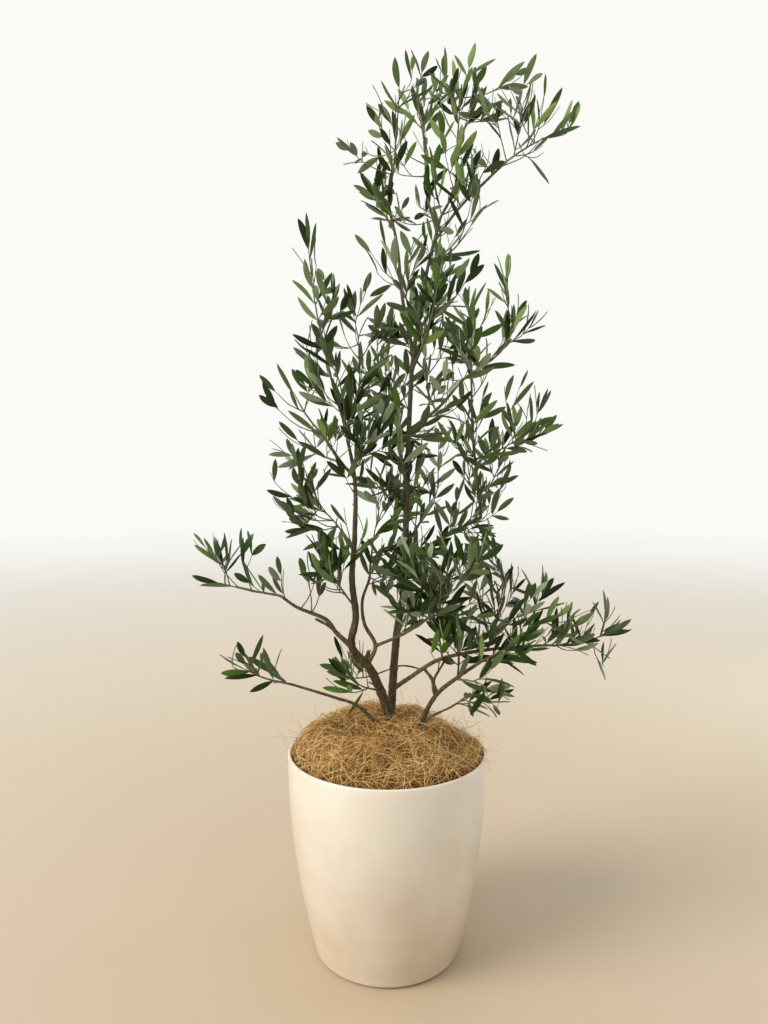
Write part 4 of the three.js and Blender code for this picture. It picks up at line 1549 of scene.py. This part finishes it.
@dataclass
class LeafShape:
    """The form of an olive leaf: lanceolate, on a short stalk, with a midrib and edges that turn down."""

    stations: tuple = (0.0, 0.06, 0.15, 0.29, 0.46, 0.63, 0.79, 0.91)
    halves: tuple = (0.09, 0.09, 0.42, 0.78, 0.98, 1.0, 0.80, 0.46)
    columns: tuple = (-1.0, -0.5, 0.0, 0.5, 1.0)
    edge_drop: float = 0.22
    groove: float = 0.25
    thickness: float = 0.55
    rib: float = 0.45
    slots: tuple = (0, 0, 1, 1, 1)

    def template(self) -> tuple:
        """Works out the leaf once.

        Returns:
            Points as (share of length, share of half the width, millimetres up), and the faces: the upper
            side's quads and tip, the underside's quads and tip, and the stalk's end.
        """
        rows = []
        for x, half in zip(self.stations, self.halves):
            stalk = x < 0.1
            top = [(x, c * half, 0.0 if c or stalk else -self.groove) for c in self.columns]
            depth = [1.0 if stalk else self.thickness + (0.0 if c else self.rib) for c in self.columns[1:-1]]
            under = [(x, c * half, z - d) for (_, _, z), c, d in zip(top[1:-1], self.columns[1:-1], depth)]
            rows += top + under
        rows.append((1.0, 0.0, -self.thickness / 2))
        ring = (0, 1, 2, 3, 4, 7, 6, 5)
        width, tip = len(ring), len(rows) - 1
        upper, under = [], []
        for station in range(len(self.stations) - 1):
            base = station * width
            for k in range(width):
                a, b = base + ring[k], base + ring[(k + 1) % width]
                face = (b, a, a + width, b + width)
                (upper if k < 4 else under).append(face)
        base = (len(self.stations) - 1) * width
        points_up = [(base + ring[k + 1], base + ring[k], tip) for k in range(4)]
        points_down = [(base + ring[(k + 1) % width], base + ring[k], tip) for k in range(4, width)]
        return tuple(np.array(part) for part in (rows, upper, points_up, under, points_down, [ring]))

    def place(self, leaves: Sequence) -> tuple:
        """Shapes and places many leaves at once.

        Args:
            leaves: The leaves.

        Returns:
            Their points, and their faces as in the template.
        """
        rows, *faces = self.template()
        x, y, z = rows[:, 0], rows[:, 1], rows[:, 2]
        frames = [leaf.frame() for leaf in leaves]
        along, across, normal = (np.array([f[k] for f in frames])[:, None, :] for k in range(3))
        root = np.array([leaf.root for leaf in leaves])[:, None, :]
        length, width, arch, sway = (
            np.array([getattr(leaf, key) for leaf in leaves])[:, None]
            for key in ("length", "width", "arch", "sway")
        )
        bow = 4 * x * (1 - x)
        out = y * width / 2
        edge = -self.edge_drop * y * y * width / 2 * bow
        lift = arch * length * bow + z + edge
        points = root + along * (x * length)[..., None] + across * (out + sway * length * bow)[..., None]
        points = points + normal * lift[..., None]
        step = (np.arange(len(leaves)) * len(rows))[:, None, None]
        return points.reshape(-1, 3), [(face[None] + step).reshape(-1, face.shape[1]) for face in faces]


@dataclass
class Foliage:
    """The crown's leaves and twigs as joined pieces."""

    crown: Crown
    shape: LeafShape = field(default_factory=LeafShape)
    crease: float = 50.0
    twig_wander: float = 0.225
    twig_node: float = 0.14

    def leaf_piece(self, tone: LeafTone) -> bpy.types.Object:
        """Makes the leaves of one tone, upper sides and undersides.

        Args:
            tone: The tone.

        Returns:
            The object.
        """
        leaves = [leaf for leaf in self.crown.leaves if leaf.tone is tone]
        draft = Draft()
        draft.add(*self.shape.place(leaves), self.shape.slots)
        finish = OliveLeaf(tone)
        piece = draft.build(f"leaves_{tone.name.lower()}", (finish.upper(), finish.under()), self.crease)
        log.info("%s: %d leaves", piece.name, len(leaves))
        return piece

    def twig_piece(self) -> bpy.types.Object:
        """Makes the masses' stems and all twigs, slightly thicker at each node.

        Returns:
            The object.
        """
        draft = Draft()
        for index, shoot in enumerate(self.crown.shoots):
            steps = max(3, int(shoot.path.length / shoot.step))
            line = shoot.path.spaced(steps)
            share = np.linspace(0, 1, steps + 1)
            foot, tip = shoot.thick
            radii = (foot + (tip - foot) * share) / 2
            radii = radii * (1 + self.twig_node * (np.arange(steps + 1) % 2))
            wander = np.random.default_rng(index).normal(0, self.twig_wander, line.shape)
            wander[0] = wander[-1] = 0
            line = line + wander * np.sin(math.pi * share)[:, None]
            draft.add(tube_points(line, radii, shoot.sides), tube_faces(steps + 1, shoot.sides))
        piece = draft.build("twigs", (TwigBark().material(),))
        log.info("%s: %d shoots", piece.name, len(self.crown.shoots))
        return piece

    def build(self) -> list:
        """Makes every piece, and lets them stand for the masses' solids.

        Returns:
            The pieces.
        """
        nodes = [f"foliage_{row.name}" for row in MASSES]
        pieces = [self.twig_piece()] + [self.leaf_piece(tone) for tone in LeafTone]
        for piece in pieces:
            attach(piece, "root")
            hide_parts(*nodes)
        return pieces


@dataclass
class Bark:
    """The trunks and boughs with the relief of young bark."""

    crown: Crown
    ring_gap: float = 2.2
    crease: float = 60.0
    sides: tuple = (22, 14)
    furrow: float = 0.05
    furrow_cells: tuple = (5, 3)
    furrow_length: float = 34.0
    grain: float = 0.035
    grain_cells: tuple = (11, 7)
    grain_length: float = 5.0
    node_gap: float = 27.0
    node_stray: float = 6.0
    node_swell: float = 0.13
    node_length: float = 2.4
    collar: float = 0.4
    collar_length: float = 5.0
    offshoot_gap: float = 2.6
    offshoot_sides: int = 9
    first_seed: int = 11

    def limb_piece(self, limb: Limb, seed: int) -> bpy.types.Object:
        """Makes one limb.

        Args:
            limb: The limb.
            seed: Seed of its relief.

        Returns:
            The object.
        """
        trunk = not limb.row.name.startswith("bough")
        kind = 0 if trunk else 1
        sides = self.sides[kind]
        steps = int(limb.length / self.ring_gap)
        share = np.linspace(0, 1, steps + 1)
        along = share * limb.length
        turn = np.arange(sides) / sides
        grid = (along[:, None], np.broadcast_to(turn, (steps + 1, sides)))
        rough = self.furrow * WrapNoise(seed, self.furrow_cells[kind], self.furrow_length)(*grid)
        rough = rough + self.grain * WrapNoise(seed + 50, self.grain_cells[kind], self.grain_length)(*grid)
        rng = np.random.default_rng(seed)
        nodes = np.arange(self.node_gap, limb.length, self.node_gap)
        nodes = nodes + rng.uniform(-self.node_stray, self.node_stray, len(nodes))
        swell = np.zeros(steps + 1)
        for node in nodes:
            swell += self.node_swell * np.exp(-(((along - node) / self.node_length) ** 2)) * rng.uniform(0.4, 1)
        if not limb.row.foot:
            swell += self.collar * np.exp(-along / self.collar_length)
        radii = limb.radius(share)[:, None] * (1 + rough + swell[:, None])
        draft = Draft()
        draft.add(tube_points(limb.path.spaced(steps), radii, sides), tube_faces(steps + 1, sides))
        for row, path in self.crown.offshoots:
            if row.limb == limb.row.name:
                self.add_offshoot(draft, row, path)
        finish = YoungBark(BarkAge.TRUNK if trunk else BarkAge.BOUGH)
        piece = draft.build(f"bark_{limb.row.name}", (finish.material(),), self.crease)
        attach(piece, "root")
        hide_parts(limb.row.name)
        return piece

    def add_offshoot(self, draft: Draft, row: OffshootRow, path: Path) -> None:
        """Adds a thin side branch, with a swelling at each node.

        Args:
            draft: The limb's mesh.
            row: The branch's row.
            path: Its line.
        """
        steps = int(path.length / self.offshoot_gap)
        radii = np.linspace(*row.radii, steps + 1)
        swell = np.abs(np.sin(np.arange(steps + 1) * (math.pi * self.offshoot_gap / self.node_gap))) ** 8
        points = tube_points(path.spaced(steps), radii * (1.25 - 0.25 * swell), self.offshoot_sides)
        draft.add(points, tube_faces(steps + 1, self.offshoot_sides))

    def build(self) -> list:
        """Makes every trunk and bough."""
        limbs = self.crown.limbs.values()
        return [self.limb_piece(limb, self.first_seed + index) for index, limb in enumerate(limbs)]


@dataclass
class Planter:
    """The round glossy pot, turned from its profile, and its soil."""

    segments: int = 144
    side_steps: int = 40
    heel_steps: int = 10
    lip_steps: int = 12
    crease: float = 40.0

    @staticmethod
    def radius(z: float) -> float:
        """Outer radius at a height."""
        share = max(0.0, 1 - z / (POT_HEIGHT - STRAIGHT_RIM))
        return RIM_RADIUS - (RIM_RADIUS - HEEL_RADIUS) * share**SIDE_POWER

    def profile(self) -> np.ndarray:
        """Works out the profile, from the underside's middle round to the inner floor's.

        Returns:
            Its points as (radius, height).
        """
        rows = [(0.0, 0.0)]
        centre = self.radius(HEEL_ROUND) - HEEL_ROUND
        for angle in np.linspace(-math.pi / 2, 0, self.heel_steps):
            rows.append((centre + HEEL_ROUND * math.cos(angle), HEEL_ROUND + HEEL_ROUND * math.sin(angle)))
        top = POT_HEIGHT - WALL / 2
        for z in np.linspace(HEEL_ROUND, top, self.side_steps)[1:]:
            rows.append((self.radius(z), z))
        middle = RIM_RADIUS - WALL / 2
        for angle in np.linspace(0, math.pi, self.lip_steps)[1:]:
            rows.append((middle + WALL / 2 * math.cos(angle), top + WALL / 2 * math.sin(angle)))
        for z in np.linspace(top, POT_FLOOR, self.side_steps // 2)[1:]:
            rows.append((self.radius(z) - WALL, z))
        rows.append((0.0, POT_FLOOR))
        return np.array(rows)

    def pot(self) -> bpy.types.Object:
        """Turns the profile into the pot.

        Returns:
            The object.
        """
        rings = self.profile()[1:-1]
        turn = np.arange(self.segments) * (2 * math.pi / self.segments)
        radius, height = rings[:, :1], np.repeat(rings[:, 1:], self.segments, axis=1)
        points = np.stack((radius * np.cos(turn), radius * np.sin(turn), height), axis=-1).reshape(-1, 3)
        draft = Draft()
        draft.add(points, tube_faces(len(rings), self.segments))
        piece = draft.build("planter_shell", (GlazedShell().material(),), self.crease)
        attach(piece, "root")
        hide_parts("pot")
        return piece

    def build(self) -> list:
        """Makes the pot and dresses the soil.

        Returns:
            The pot alone.
        """
        finishes = frame["nodes"]["soil"].data.materials
        finishes.clear()
        finishes.append(PottingSoil().material())
        return [self.pot()]


@dataclass
class CoirMulch:
    """The mound of coconut fibre: a dark tangled core, darkened as painted shade between the strands, under three
    tones of loose fibres.
    """

    segments: int = 120
    rings: int = 44
    edge: float = 143.6
    sunk: float = 5.0
    crease: float = 70.0
    fade: float = 26.0
    wads: int = 46
    wad_seed: int = 41
    wad_spread: float = 128.0
    wad_size: tuple = (14.0, 30.0)
    wad_height: tuple = (-19.0, 12.0)
    humps: tuple = ((-30.0, 15.0, 40.0, -1.0), (34.0, 22.0, 38.0, -13.0), (-96.0, 5.0, 36.0, 6.0))
    variants: int = 22
    fibre_steps: int = 13
    fibre_length: tuple = (46.0, 104.0)
    fibre_thick: float = 0.75
    spread: float = 133.0
    layers: tuple = (
        (FibreTone.DARK, 3, 18000.0), (FibreTone.GOLD, 5, 26000.0), (FibreTone.LIGHT, 7, 21000.0),
    )
    sizes: tuple = (0.7, 1.15)
    wall_gap: float = 144.0
    buried: float = 1.5
    strays: int = 260
    stray_seed: int = 77
    stray_share: float = 0.55
    stray_steps: int = 18
    stray_reach: float = 174.0
    stray_length: tuple = (34.0, 92.0)

    def __post_init__(self) -> None:
        """Deals out the wads that the mound is heaped up from."""
        rng = np.random.default_rng(self.wad_seed)
        out = self.wad_spread * np.sqrt(rng.uniform(0, 1, self.wads))
        turn = rng.uniform(0, 2 * math.pi, self.wads)
        size, height = (rng.uniform(*limits, self.wads) for limits in (self.wad_size, self.wad_height))
        wads = np.stack((out * np.cos(turn), out * np.sin(turn), size, height), axis=-1)
        self.heaps = np.concatenate((wads, self.humps))

    def level(self, x: np.ndarray, y: np.ndarray) -> np.ndarray:
        """Works out the height of the core's surface, heaped up in wads.

        Args:
            x: Places from left to right.
            y: Places from front to back.

        Returns:
            The height at each place.
        """
        radius = np.hypot(x, y)
        rise = np.zeros_like(radius)
        for near_x, near_y, size, height in self.heaps:
            apart = np.hypot(x - near_x, y - near_y) / size
            rise = rise + height * np.exp(-(apart**3))
        rise = rise + 0.8 * np.sin(x / 4.3 + y / 6.1) + 0.6 * np.cos(x / 3.1 - y / 4.3)
        fade = np.clip((self.edge - radius) / self.fade, 0, 1)
        return mound_level(radius) - self.sunk + rise * fade

    def core(self) -> bpy.types.Object:
        """Makes the core of the mound as a closed shell.

        Returns:
            The object.
        """
        radii = np.linspace(self.edge, 0, self.rings + 1)[:-1]
        turn = np.arange(self.segments) * (2 * math.pi / self.segments)
        x, y = radii[:, None] * np.cos(turn), radii[:, None] * np.sin(turn)
        top = np.stack((x, y, self.level(x, y)), axis=-1)
        foot = np.stack((x[0], y[0], np.full(self.segments, SOIL_TOP + CLEARANCE)), axis=-1)[None]
        points = np.concatenate((foot, top)).reshape(-1, 3)
        draft = Draft()
        draft.add(points, tube_faces(self.rings + 1, self.segments))
        return draft.build("mulch_core", (ShadedCoirPile().material(),), self.crease)

    def fibre(self, seed: int, length: float, rise: float) -> Draft:
        """Makes one curly fibre that lies along X and arches over the origin.

        Args:
            seed: Its seed.
            length: Its length.
            rise: How far its middle stands above its ends.

        Returns:
            The fibre.
        """
        rng = np.random.default_rng(seed)
        share = np.linspace(0, 1, self.fibre_steps + 1)
        heading = np.cumsum(rng.normal(0, 0.30, self.fibre_steps + 1)) + rng.normal(0, 0.5)
        step = length / self.fibre_steps
        x, y = np.cumsum(np.cos(heading)) * step, np.cumsum(np.sin(heading)) * step
        z = rise * np.sin(math.pi * share) + 1.1 * np.sin(share * rng.uniform(5, 13) + rng.uniform(0, 6)) - 1.0
        line = np.stack((x - x.mean(), y - y.mean(), z), axis=-1)
        radii = self.fibre_thick / 2 * np.clip(1.5 * np.sin(math.pi * (0.06 + 0.88 * share)), 0.25, 1)
        draft = Draft()
        draft.add(tube_points(line, radii, 3), tube_faces(self.fibre_steps + 1, 3))
        return draft

    def fibre_set(self, seed: int) -> bpy.types.Collection:
        """Makes the fibres that are dealt over the mound.

        Args:
            seed: Their seed.

        Returns:
            The group that holds them.
        """
        rng = np.random.default_rng(seed)
        group = bpy.data.collections.new(f"fibres_{seed}")
        for index in range(self.variants):
            length = rng.uniform(*self.fibre_length)
            draft = self.fibre(seed * 100 + index, length, 1.0 + 15.0 * rng.uniform() ** 3)
            piece = draft.build(f"fibre_{seed}_{index}", ())
            bpy.context.scene.collection.objects.unlink(piece)
            group.objects.link(piece)
        return group

    def scatter_tree(self) -> bpy.types.NodeTree:
        """Builds geometry nodes that lay fibres flat on a surface, at random and turned at random.

        Returns:
            The tree.
        """
        tree = bpy.data.node_groups.new("lay_fibres", "GeometryNodeTree")
        face = tree.interface
        for name, kind in (
            ("Surface", "Geometry"), ("Fibres", "Collection"), ("Density", "Float"), ("Seed", "Int"),
            ("Smallest", "Float"), ("Largest", "Float"), ("Spread", "Float"), ("Finish", "Material"),
        ):
            face.new_socket(name, in_out="INPUT", socket_type=f"NodeSocket{kind}")
        face.new_socket("Pieces", in_out="OUTPUT", socket_type="NodeSocketGeometry")
        given = add_node(tree, "NodeGroupInput").outputs
        place = add_node(tree, "GeometryNodeInputPosition")
        normal = add_node(tree, "GeometryNodeInputNormal")
        flat = add_node(
            tree, "ShaderNodeVectorMath", {"operation": "MULTIPLY"}, {0: place.outputs[0], 1: (1.0, 1.0, 0.0)}
        )
        radius = add_node(tree, "ShaderNodeVectorMath", {"operation": "LENGTH"}, {0: flat.outputs[0]})
        inside = add_node(
            tree, "FunctionNodeCompare", {"operation": "LESS_THAN"},
            {"A": radius.outputs["Value"], "B": given["Spread"]},
        )
        facing = add_node(tree, "ShaderNodeSeparateXYZ", inputs={0: normal.outputs[0]})
        upward = add_node(
            tree, "FunctionNodeCompare", {"operation": "GREATER_THAN"}, {"A": facing.outputs[2], "B": 0.3}
        )
        where = add_node(
            tree, "FunctionNodeBooleanMath", {"operation": "AND"}, {0: inside.outputs[0], 1: upward.outputs[0]}
        )
        points = add_node(
            tree, "GeometryNodeDistributePointsOnFaces", {"distribute_method": "RANDOM"},
            {
                "Mesh": given["Surface"], "Selection": where.outputs[0], "Density": given["Density"],
                "Seed": given["Seed"],
            },
        )
        turn = add_node(
            tree, "FunctionNodeRandomValue", {"data_type": "FLOAT_VECTOR"},
            {"Min": (-0.10, -0.10, 0.0), "Max": (0.10, 0.10, 2 * math.pi), "Seed": given["Seed"]},
        )
        spin = add_node(tree, "FunctionNodeEulerToRotation", inputs={0: turn.outputs[0]})
        aligned = add_node(
            tree, "FunctionNodeRotateRotation", {"rotation_space": "LOCAL"},
            {"Rotation": points.outputs["Rotation"], "Rotate By": spin.outputs[0]},
        )
        size = add_node(
            tree, "FunctionNodeRandomValue", {"data_type": "FLOAT"},
            {"Min": given["Smallest"], "Max": given["Largest"], "Seed": given["Seed"]},
        )
        source = add_node(
            tree, "GeometryNodeCollectionInfo", {"transform_space": "ORIGINAL"},
            {"Collection": given["Fibres"], "Separate Children": True, "Reset Children": True},
        )
        laid = add_node(
            tree, "GeometryNodeInstanceOnPoints",
            inputs={
                "Points": points.outputs["Points"], "Instance": source.outputs[0], "Pick Instance": True,
                "Rotation": aligned.outputs[0], "Scale": size.outputs["Value"],
            },
        )
        whole = add_node(tree, "GeometryNodeRealizeInstances", inputs={0: laid.outputs[0]})
        dressed = add_node(
            tree, "GeometryNodeSetMaterial",
            inputs={"Geometry": whole.outputs[0], "Material": given["Finish"]},
        )
        add_node(tree, "NodeGroupOutput", inputs={0: dressed.outputs[0]})
        return tree

    def layer(
        self, tree: bpy.types.NodeTree, core: bpy.types.Object, tone: FibreTone, seed: int, density: float
    ) -> bpy.types.Object:
        """Lays one tone of fibres on the mound.

        Args:
            tree: The geometry nodes.
            core: The mound's core.
            tone: The fibres' tone.
            seed: Seed of where they lie.
            density: Fibres for each square metre.

        Returns:
            The layer as a plain mesh object.
        """
        carrier = core.copy()
        carrier.data = core.data.copy()
        bpy.context.scene.collection.objects.link(carrier)
        group = self.fibre_set(seed)
        modifier = carrier.modifiers.new("fibres", "NODES")
        modifier.node_group = tree
        values = {
            "Fibres": group, "Density": density, "Seed": seed, "Smallest": self.sizes[0],
            "Largest": self.sizes[1], "Spread": self.spread * MM, "Finish": CoirFibre(tone).material(),
        }
        for item in tree.interface.items_tree:
            if item.in_out == "INPUT" and item.name in values:
                modifier[item.identifier] = values[item.name]
        graph = bpy.context.evaluated_depsgraph_get()
        mesh = bpy.data.meshes.new_from_object(carrier.evaluated_get(graph), depsgraph=graph)
        carrier.modifiers.remove(modifier)
        bpy.data.objects.remove(carrier)
        for piece in list(group.objects):
            bpy.data.objects.remove(piece)
        bpy.data.collections.remove(group)
        self.keep_in_pot(mesh)
        layer = bpy.data.objects.new(f"coir_{tone.name.lower()}", mesh)
        bpy.context.scene.collection.objects.link(layer)
        log.info("%s: %d faces", layer.name, len(mesh.polygons))
        return layer

    def keep_in_pot(self, mesh: bpy.types.Mesh) -> None:
        """Bends fibres up along the pot's wall where they would go through it.

        Args:
            mesh: The fibres.
        """
        points = np.zeros(len(mesh.vertices) * 3, np.float32)
        mesh.vertices.foreach_get("co", points)
        points = points.reshape(-1, 3).astype(float) / MM
        radius = np.hypot(points[:, 0], points[:, 1])
        low = (points[:, 2] < POT_HEIGHT + 1) & (radius > self.wall_gap)
        shrink = np.where(low, self.wall_gap / np.maximum(radius, 1), 1.0)
        points[:, :2] *= shrink[:, None]
        floor = self.level(points[:, 0], points[:, 1]) - self.buried
        points[:, 2] = np.maximum(points[:, 2], floor)
        mesh.vertices.foreach_set("co", (points * MM).astype(np.float32).ravel())
        mesh.update()

    def stray(self, rng: np.random.Generator, start: np.ndarray, heading: np.ndarray, length: float) -> np.ndarray:
        """Lets a loose fibre wander in curls, over the rim and clear of the pot's wall.

        Args:
            rng: Its draws.
            start: Where it leaves the mound.
            heading: Which way it sets out.
            length: Its length.

        Returns:
            Its points.
        """
        steps = self.stray_steps
        axis = unit(rng.normal(0, 1, 3))
        curl = rng.uniform(-1, 1) * 2.6 * math.pi / steps
        points = [start]
        for _ in range(steps):
            heading = unit(heading + np.cross(axis, heading) * curl + rng.normal(0, 0.13, 3))
            point = points[-1] + heading * (length / steps)
            radius = math.hypot(point[0], point[1])
            if radius > self.stray_reach:
                point[:2] *= self.stray_reach / radius
                heading[:2] *= -0.4
            ground = POT_HEIGHT + 3 if radius > 139 else float(self.level(point[0], point[1])) - 1
            if radius < 154 and point[2] < ground:
                point[2] = ground
                heading[2] = abs(heading[2])
            points.append(point)
        return np.array(points)

    def stray_piece(self) -> bpy.types.Object:
        """Makes the loose fibres that curl up out of the mound and over the rim.

        Returns:
            The object.
        """
        draft = Draft()
        rng = np.random.default_rng(self.stray_seed)
        for index in range(self.strays):
            turn = rng.uniform(0, 2 * math.pi)
            out = np.array((math.cos(turn), math.sin(turn), 0.0))
            side = np.array((-out[1], out[0], 0.0))
            over_rim = index < self.strays * self.stray_share
            near = rng.uniform(112, 138) if over_rim else rng.uniform(0, 118)
            start = out * near + UP * (float(self.level(*(out[:2] * near))) - self.buried)
            push = rng.uniform(0.35, 1.0) if over_rim else rng.uniform(-0.5, 0.5)
            heading = unit(out * push + side * rng.uniform(-0.9, 0.9) + UP * rng.uniform(0.25, 0.8))
            line = self.stray(rng, start, heading, rng.uniform(*self.stray_length))
            radii = self.fibre_thick / 2 * np.linspace(1.0, 0.5, len(line))
            draft.add(tube_points(line, radii, 3), tube_faces(len(line), 3))
        return draft.build("coir_strays", (CoirFibre(FibreTone.LIGHT).material(),))

    def build(self) -> list:
        """Makes the core, the layers and the strays.

        Returns:
            The pieces.
        """
        core, tree = self.core(), self.scatter_tree()
        layers = [self.layer(tree, core, *row) for row in self.layers]
        pieces = [core, *layers, self.stray_piece()]
        for piece in pieces:
            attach(piece, "root")
            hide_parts("coir_mulch")
        return pieces


@dataclass
class Studio:
    """A pale floor, soft light and the camera at the photograph's angle, in metres."""

    camera_place: tuple = (-0.005, -1.10, 0.72)
    camera_tilt: float = 86.97
    lens: float = 25.9
    floor_radius: float = 30.0
    floor_sides: int = 96
    floor_fade: float = 6.0
    floor_near: str = "#c9b69b"
    floor_middle: str = "#e0d4c2"
    floor_far: str = "#f5f9fa"
    glow_start: float = 0.9
    glow_end: float = 9.0
    glow_strength: float = 0.2
    sky: str = "#fbfaf6"
    sky_strength: float = 0.6
    sky_seen: float = 1.0
    sun_power: float = 1.6
    sun_spread: float = 34.0
    sun_heading: tuple = (0.85, 0.38, -0.66)
    sun_colour: str = "#fff8ec"
    lamps: tuple = (
        ("key", (-2.3, -1.1, 2.0), 22.0, 1.2),
        ("top", (0.1, 0.3, 3.1), 10.0, 2.2),
        ("edge", (2.3, 0.8, 1.1), 7.0, 0.7),
    )
    lamp_colour: str = "#fffaf2"
    lamp_target: tuple = (0.0, 0.0, 0.7)

    def floor(self) -> None:
        """Lays the floor, whose far part glows as painted light."""
        turn = np.arange(self.floor_sides) * (2 * math.pi / self.floor_sides)
        ring = np.stack((np.cos(turn), np.sin(turn), np.zeros_like(turn)), axis=-1) * self.floor_radius / MM
        draft = Draft()
        draft.add(ring, (np.arange(self.floor_sides)[None, :],))
        material, tree, shader, place = new_material(
            "matt_floor", Roughness=0.6, Emission_Color=linear(self.sky)
        )
        reach = add_node(tree, "ShaderNodeVectorMath", {"operation": "LENGTH"}, {0: place}).outputs["Value"]
        # Painted glow: the floor pales from tan near the pot to near white far off, and from about a metre out it
        # emits the sky's colour, so that it fades into the sky.
        share, glow = (
            add_node(
                tree, "ShaderNodeMapRange",
                inputs={"Value": reach, "From Min": near, "From Max": far, "To Max": most},
            ).outputs[0]
            for near, far, most in ((0.0, self.floor_fade, 1.0), (self.glow_start, self.glow_end, self.glow_strength))
        )
        colour = add_node(
            tree, "ShaderNodeValToRGB", inputs={0: share},
            stops=((0.0, self.floor_near), (0.3, self.floor_middle), (1.0, self.floor_far)),
        )
        tree.links.new(colour.outputs[0], shader.inputs["Base Color"])
        tree.links.new(glow, shader.inputs["Emission Strength"])
        draft.build("floor", (material,))

    def lamp(self, name: str, place: tuple, power: float, size: float) -> None:
        """Adds a soft lamp that points at the middle of the tree.

        Args:
            name: Its name.
            place: Where it stands.
            power: Its power in watts.
            size: Side of its square.
        """
        data = bpy.data.lights.new(name, "AREA")
        data.energy, data.size, data.color = power, size, linear(self.lamp_colour)[:3]
        lamp = bpy.data.objects.new(name, data)
        lamp.location = place
        heading = Vector(self.lamp_target) - Vector(place)
        lamp.rotation_euler = heading.to_track_quat("-Z", "Y").to_euler()
        bpy.context.scene.collection.objects.link(lamp)

    def sun(self) -> None:
        """Adds the broad light that falls evenly on tree and floor."""
        data = bpy.data.lights.new("window", "SUN")
        data.energy, data.angle = self.sun_power, math.radians(self.sun_spread)
        data.color = linear(self.sun_colour)[:3]
        lamp = bpy.data.objects.new("window", data)
        lamp.rotation_euler = Vector(self.sun_heading).to_track_quat("-Z", "Y").to_euler()
        bpy.context.scene.collection.objects.link(lamp)

    def build(self) -> None:
        """Builds floor, light and camera."""
        self.floor()
        self.sun()
        for row in self.lamps:
            self.lamp(*row)
        world = bpy.context.scene.world or bpy.data.worlds.new("sky")
        bpy.context.scene.world = world
        world.use_nodes = True
        tree = world.node_tree
        shade = tree.nodes["Background"]
        shade.inputs[0].default_value = linear(self.sky)
        rays = add_node(tree, "ShaderNodeLightPath")
        strength = add_node(
            tree, "ShaderNodeMix", {"data_type": "FLOAT"},
            {0: rays.outputs["Is Camera Ray"], "A": self.sky_strength, "B": self.sky_seen},
        )
        tree.links.new(strength.outputs[0], shade.inputs[1])
        data = bpy.data.cameras.new("camera")
        data.lens, data.clip_start = self.lens, 0.05
        camera = bpy.data.objects.new("camera", data)
        camera.location = self.camera_place
        camera.rotation_euler = (math.radians(self.camera_tilt), 0, 0)
        bpy.context.scene.collection.objects.link(camera)
        bpy.context.scene.camera = camera
        bpy.context.scene.view_settings.view_transform = "Standard"


def main() -> None:
    """Builds the tree, its planter and the studio."""
    logging.basicConfig(level=logging.INFO, format="%(message)s")
    Studio().build()
    crown = Crown()
    builders = (Planter(), CoirMulch(), Bark(crown), Foliage(crown))
    for builder in builders:
        for piece in builder.build():
            log.info("%s: %d faces", piece.name, len(piece.data.polygons))


if __name__ == "__main__":
    main()
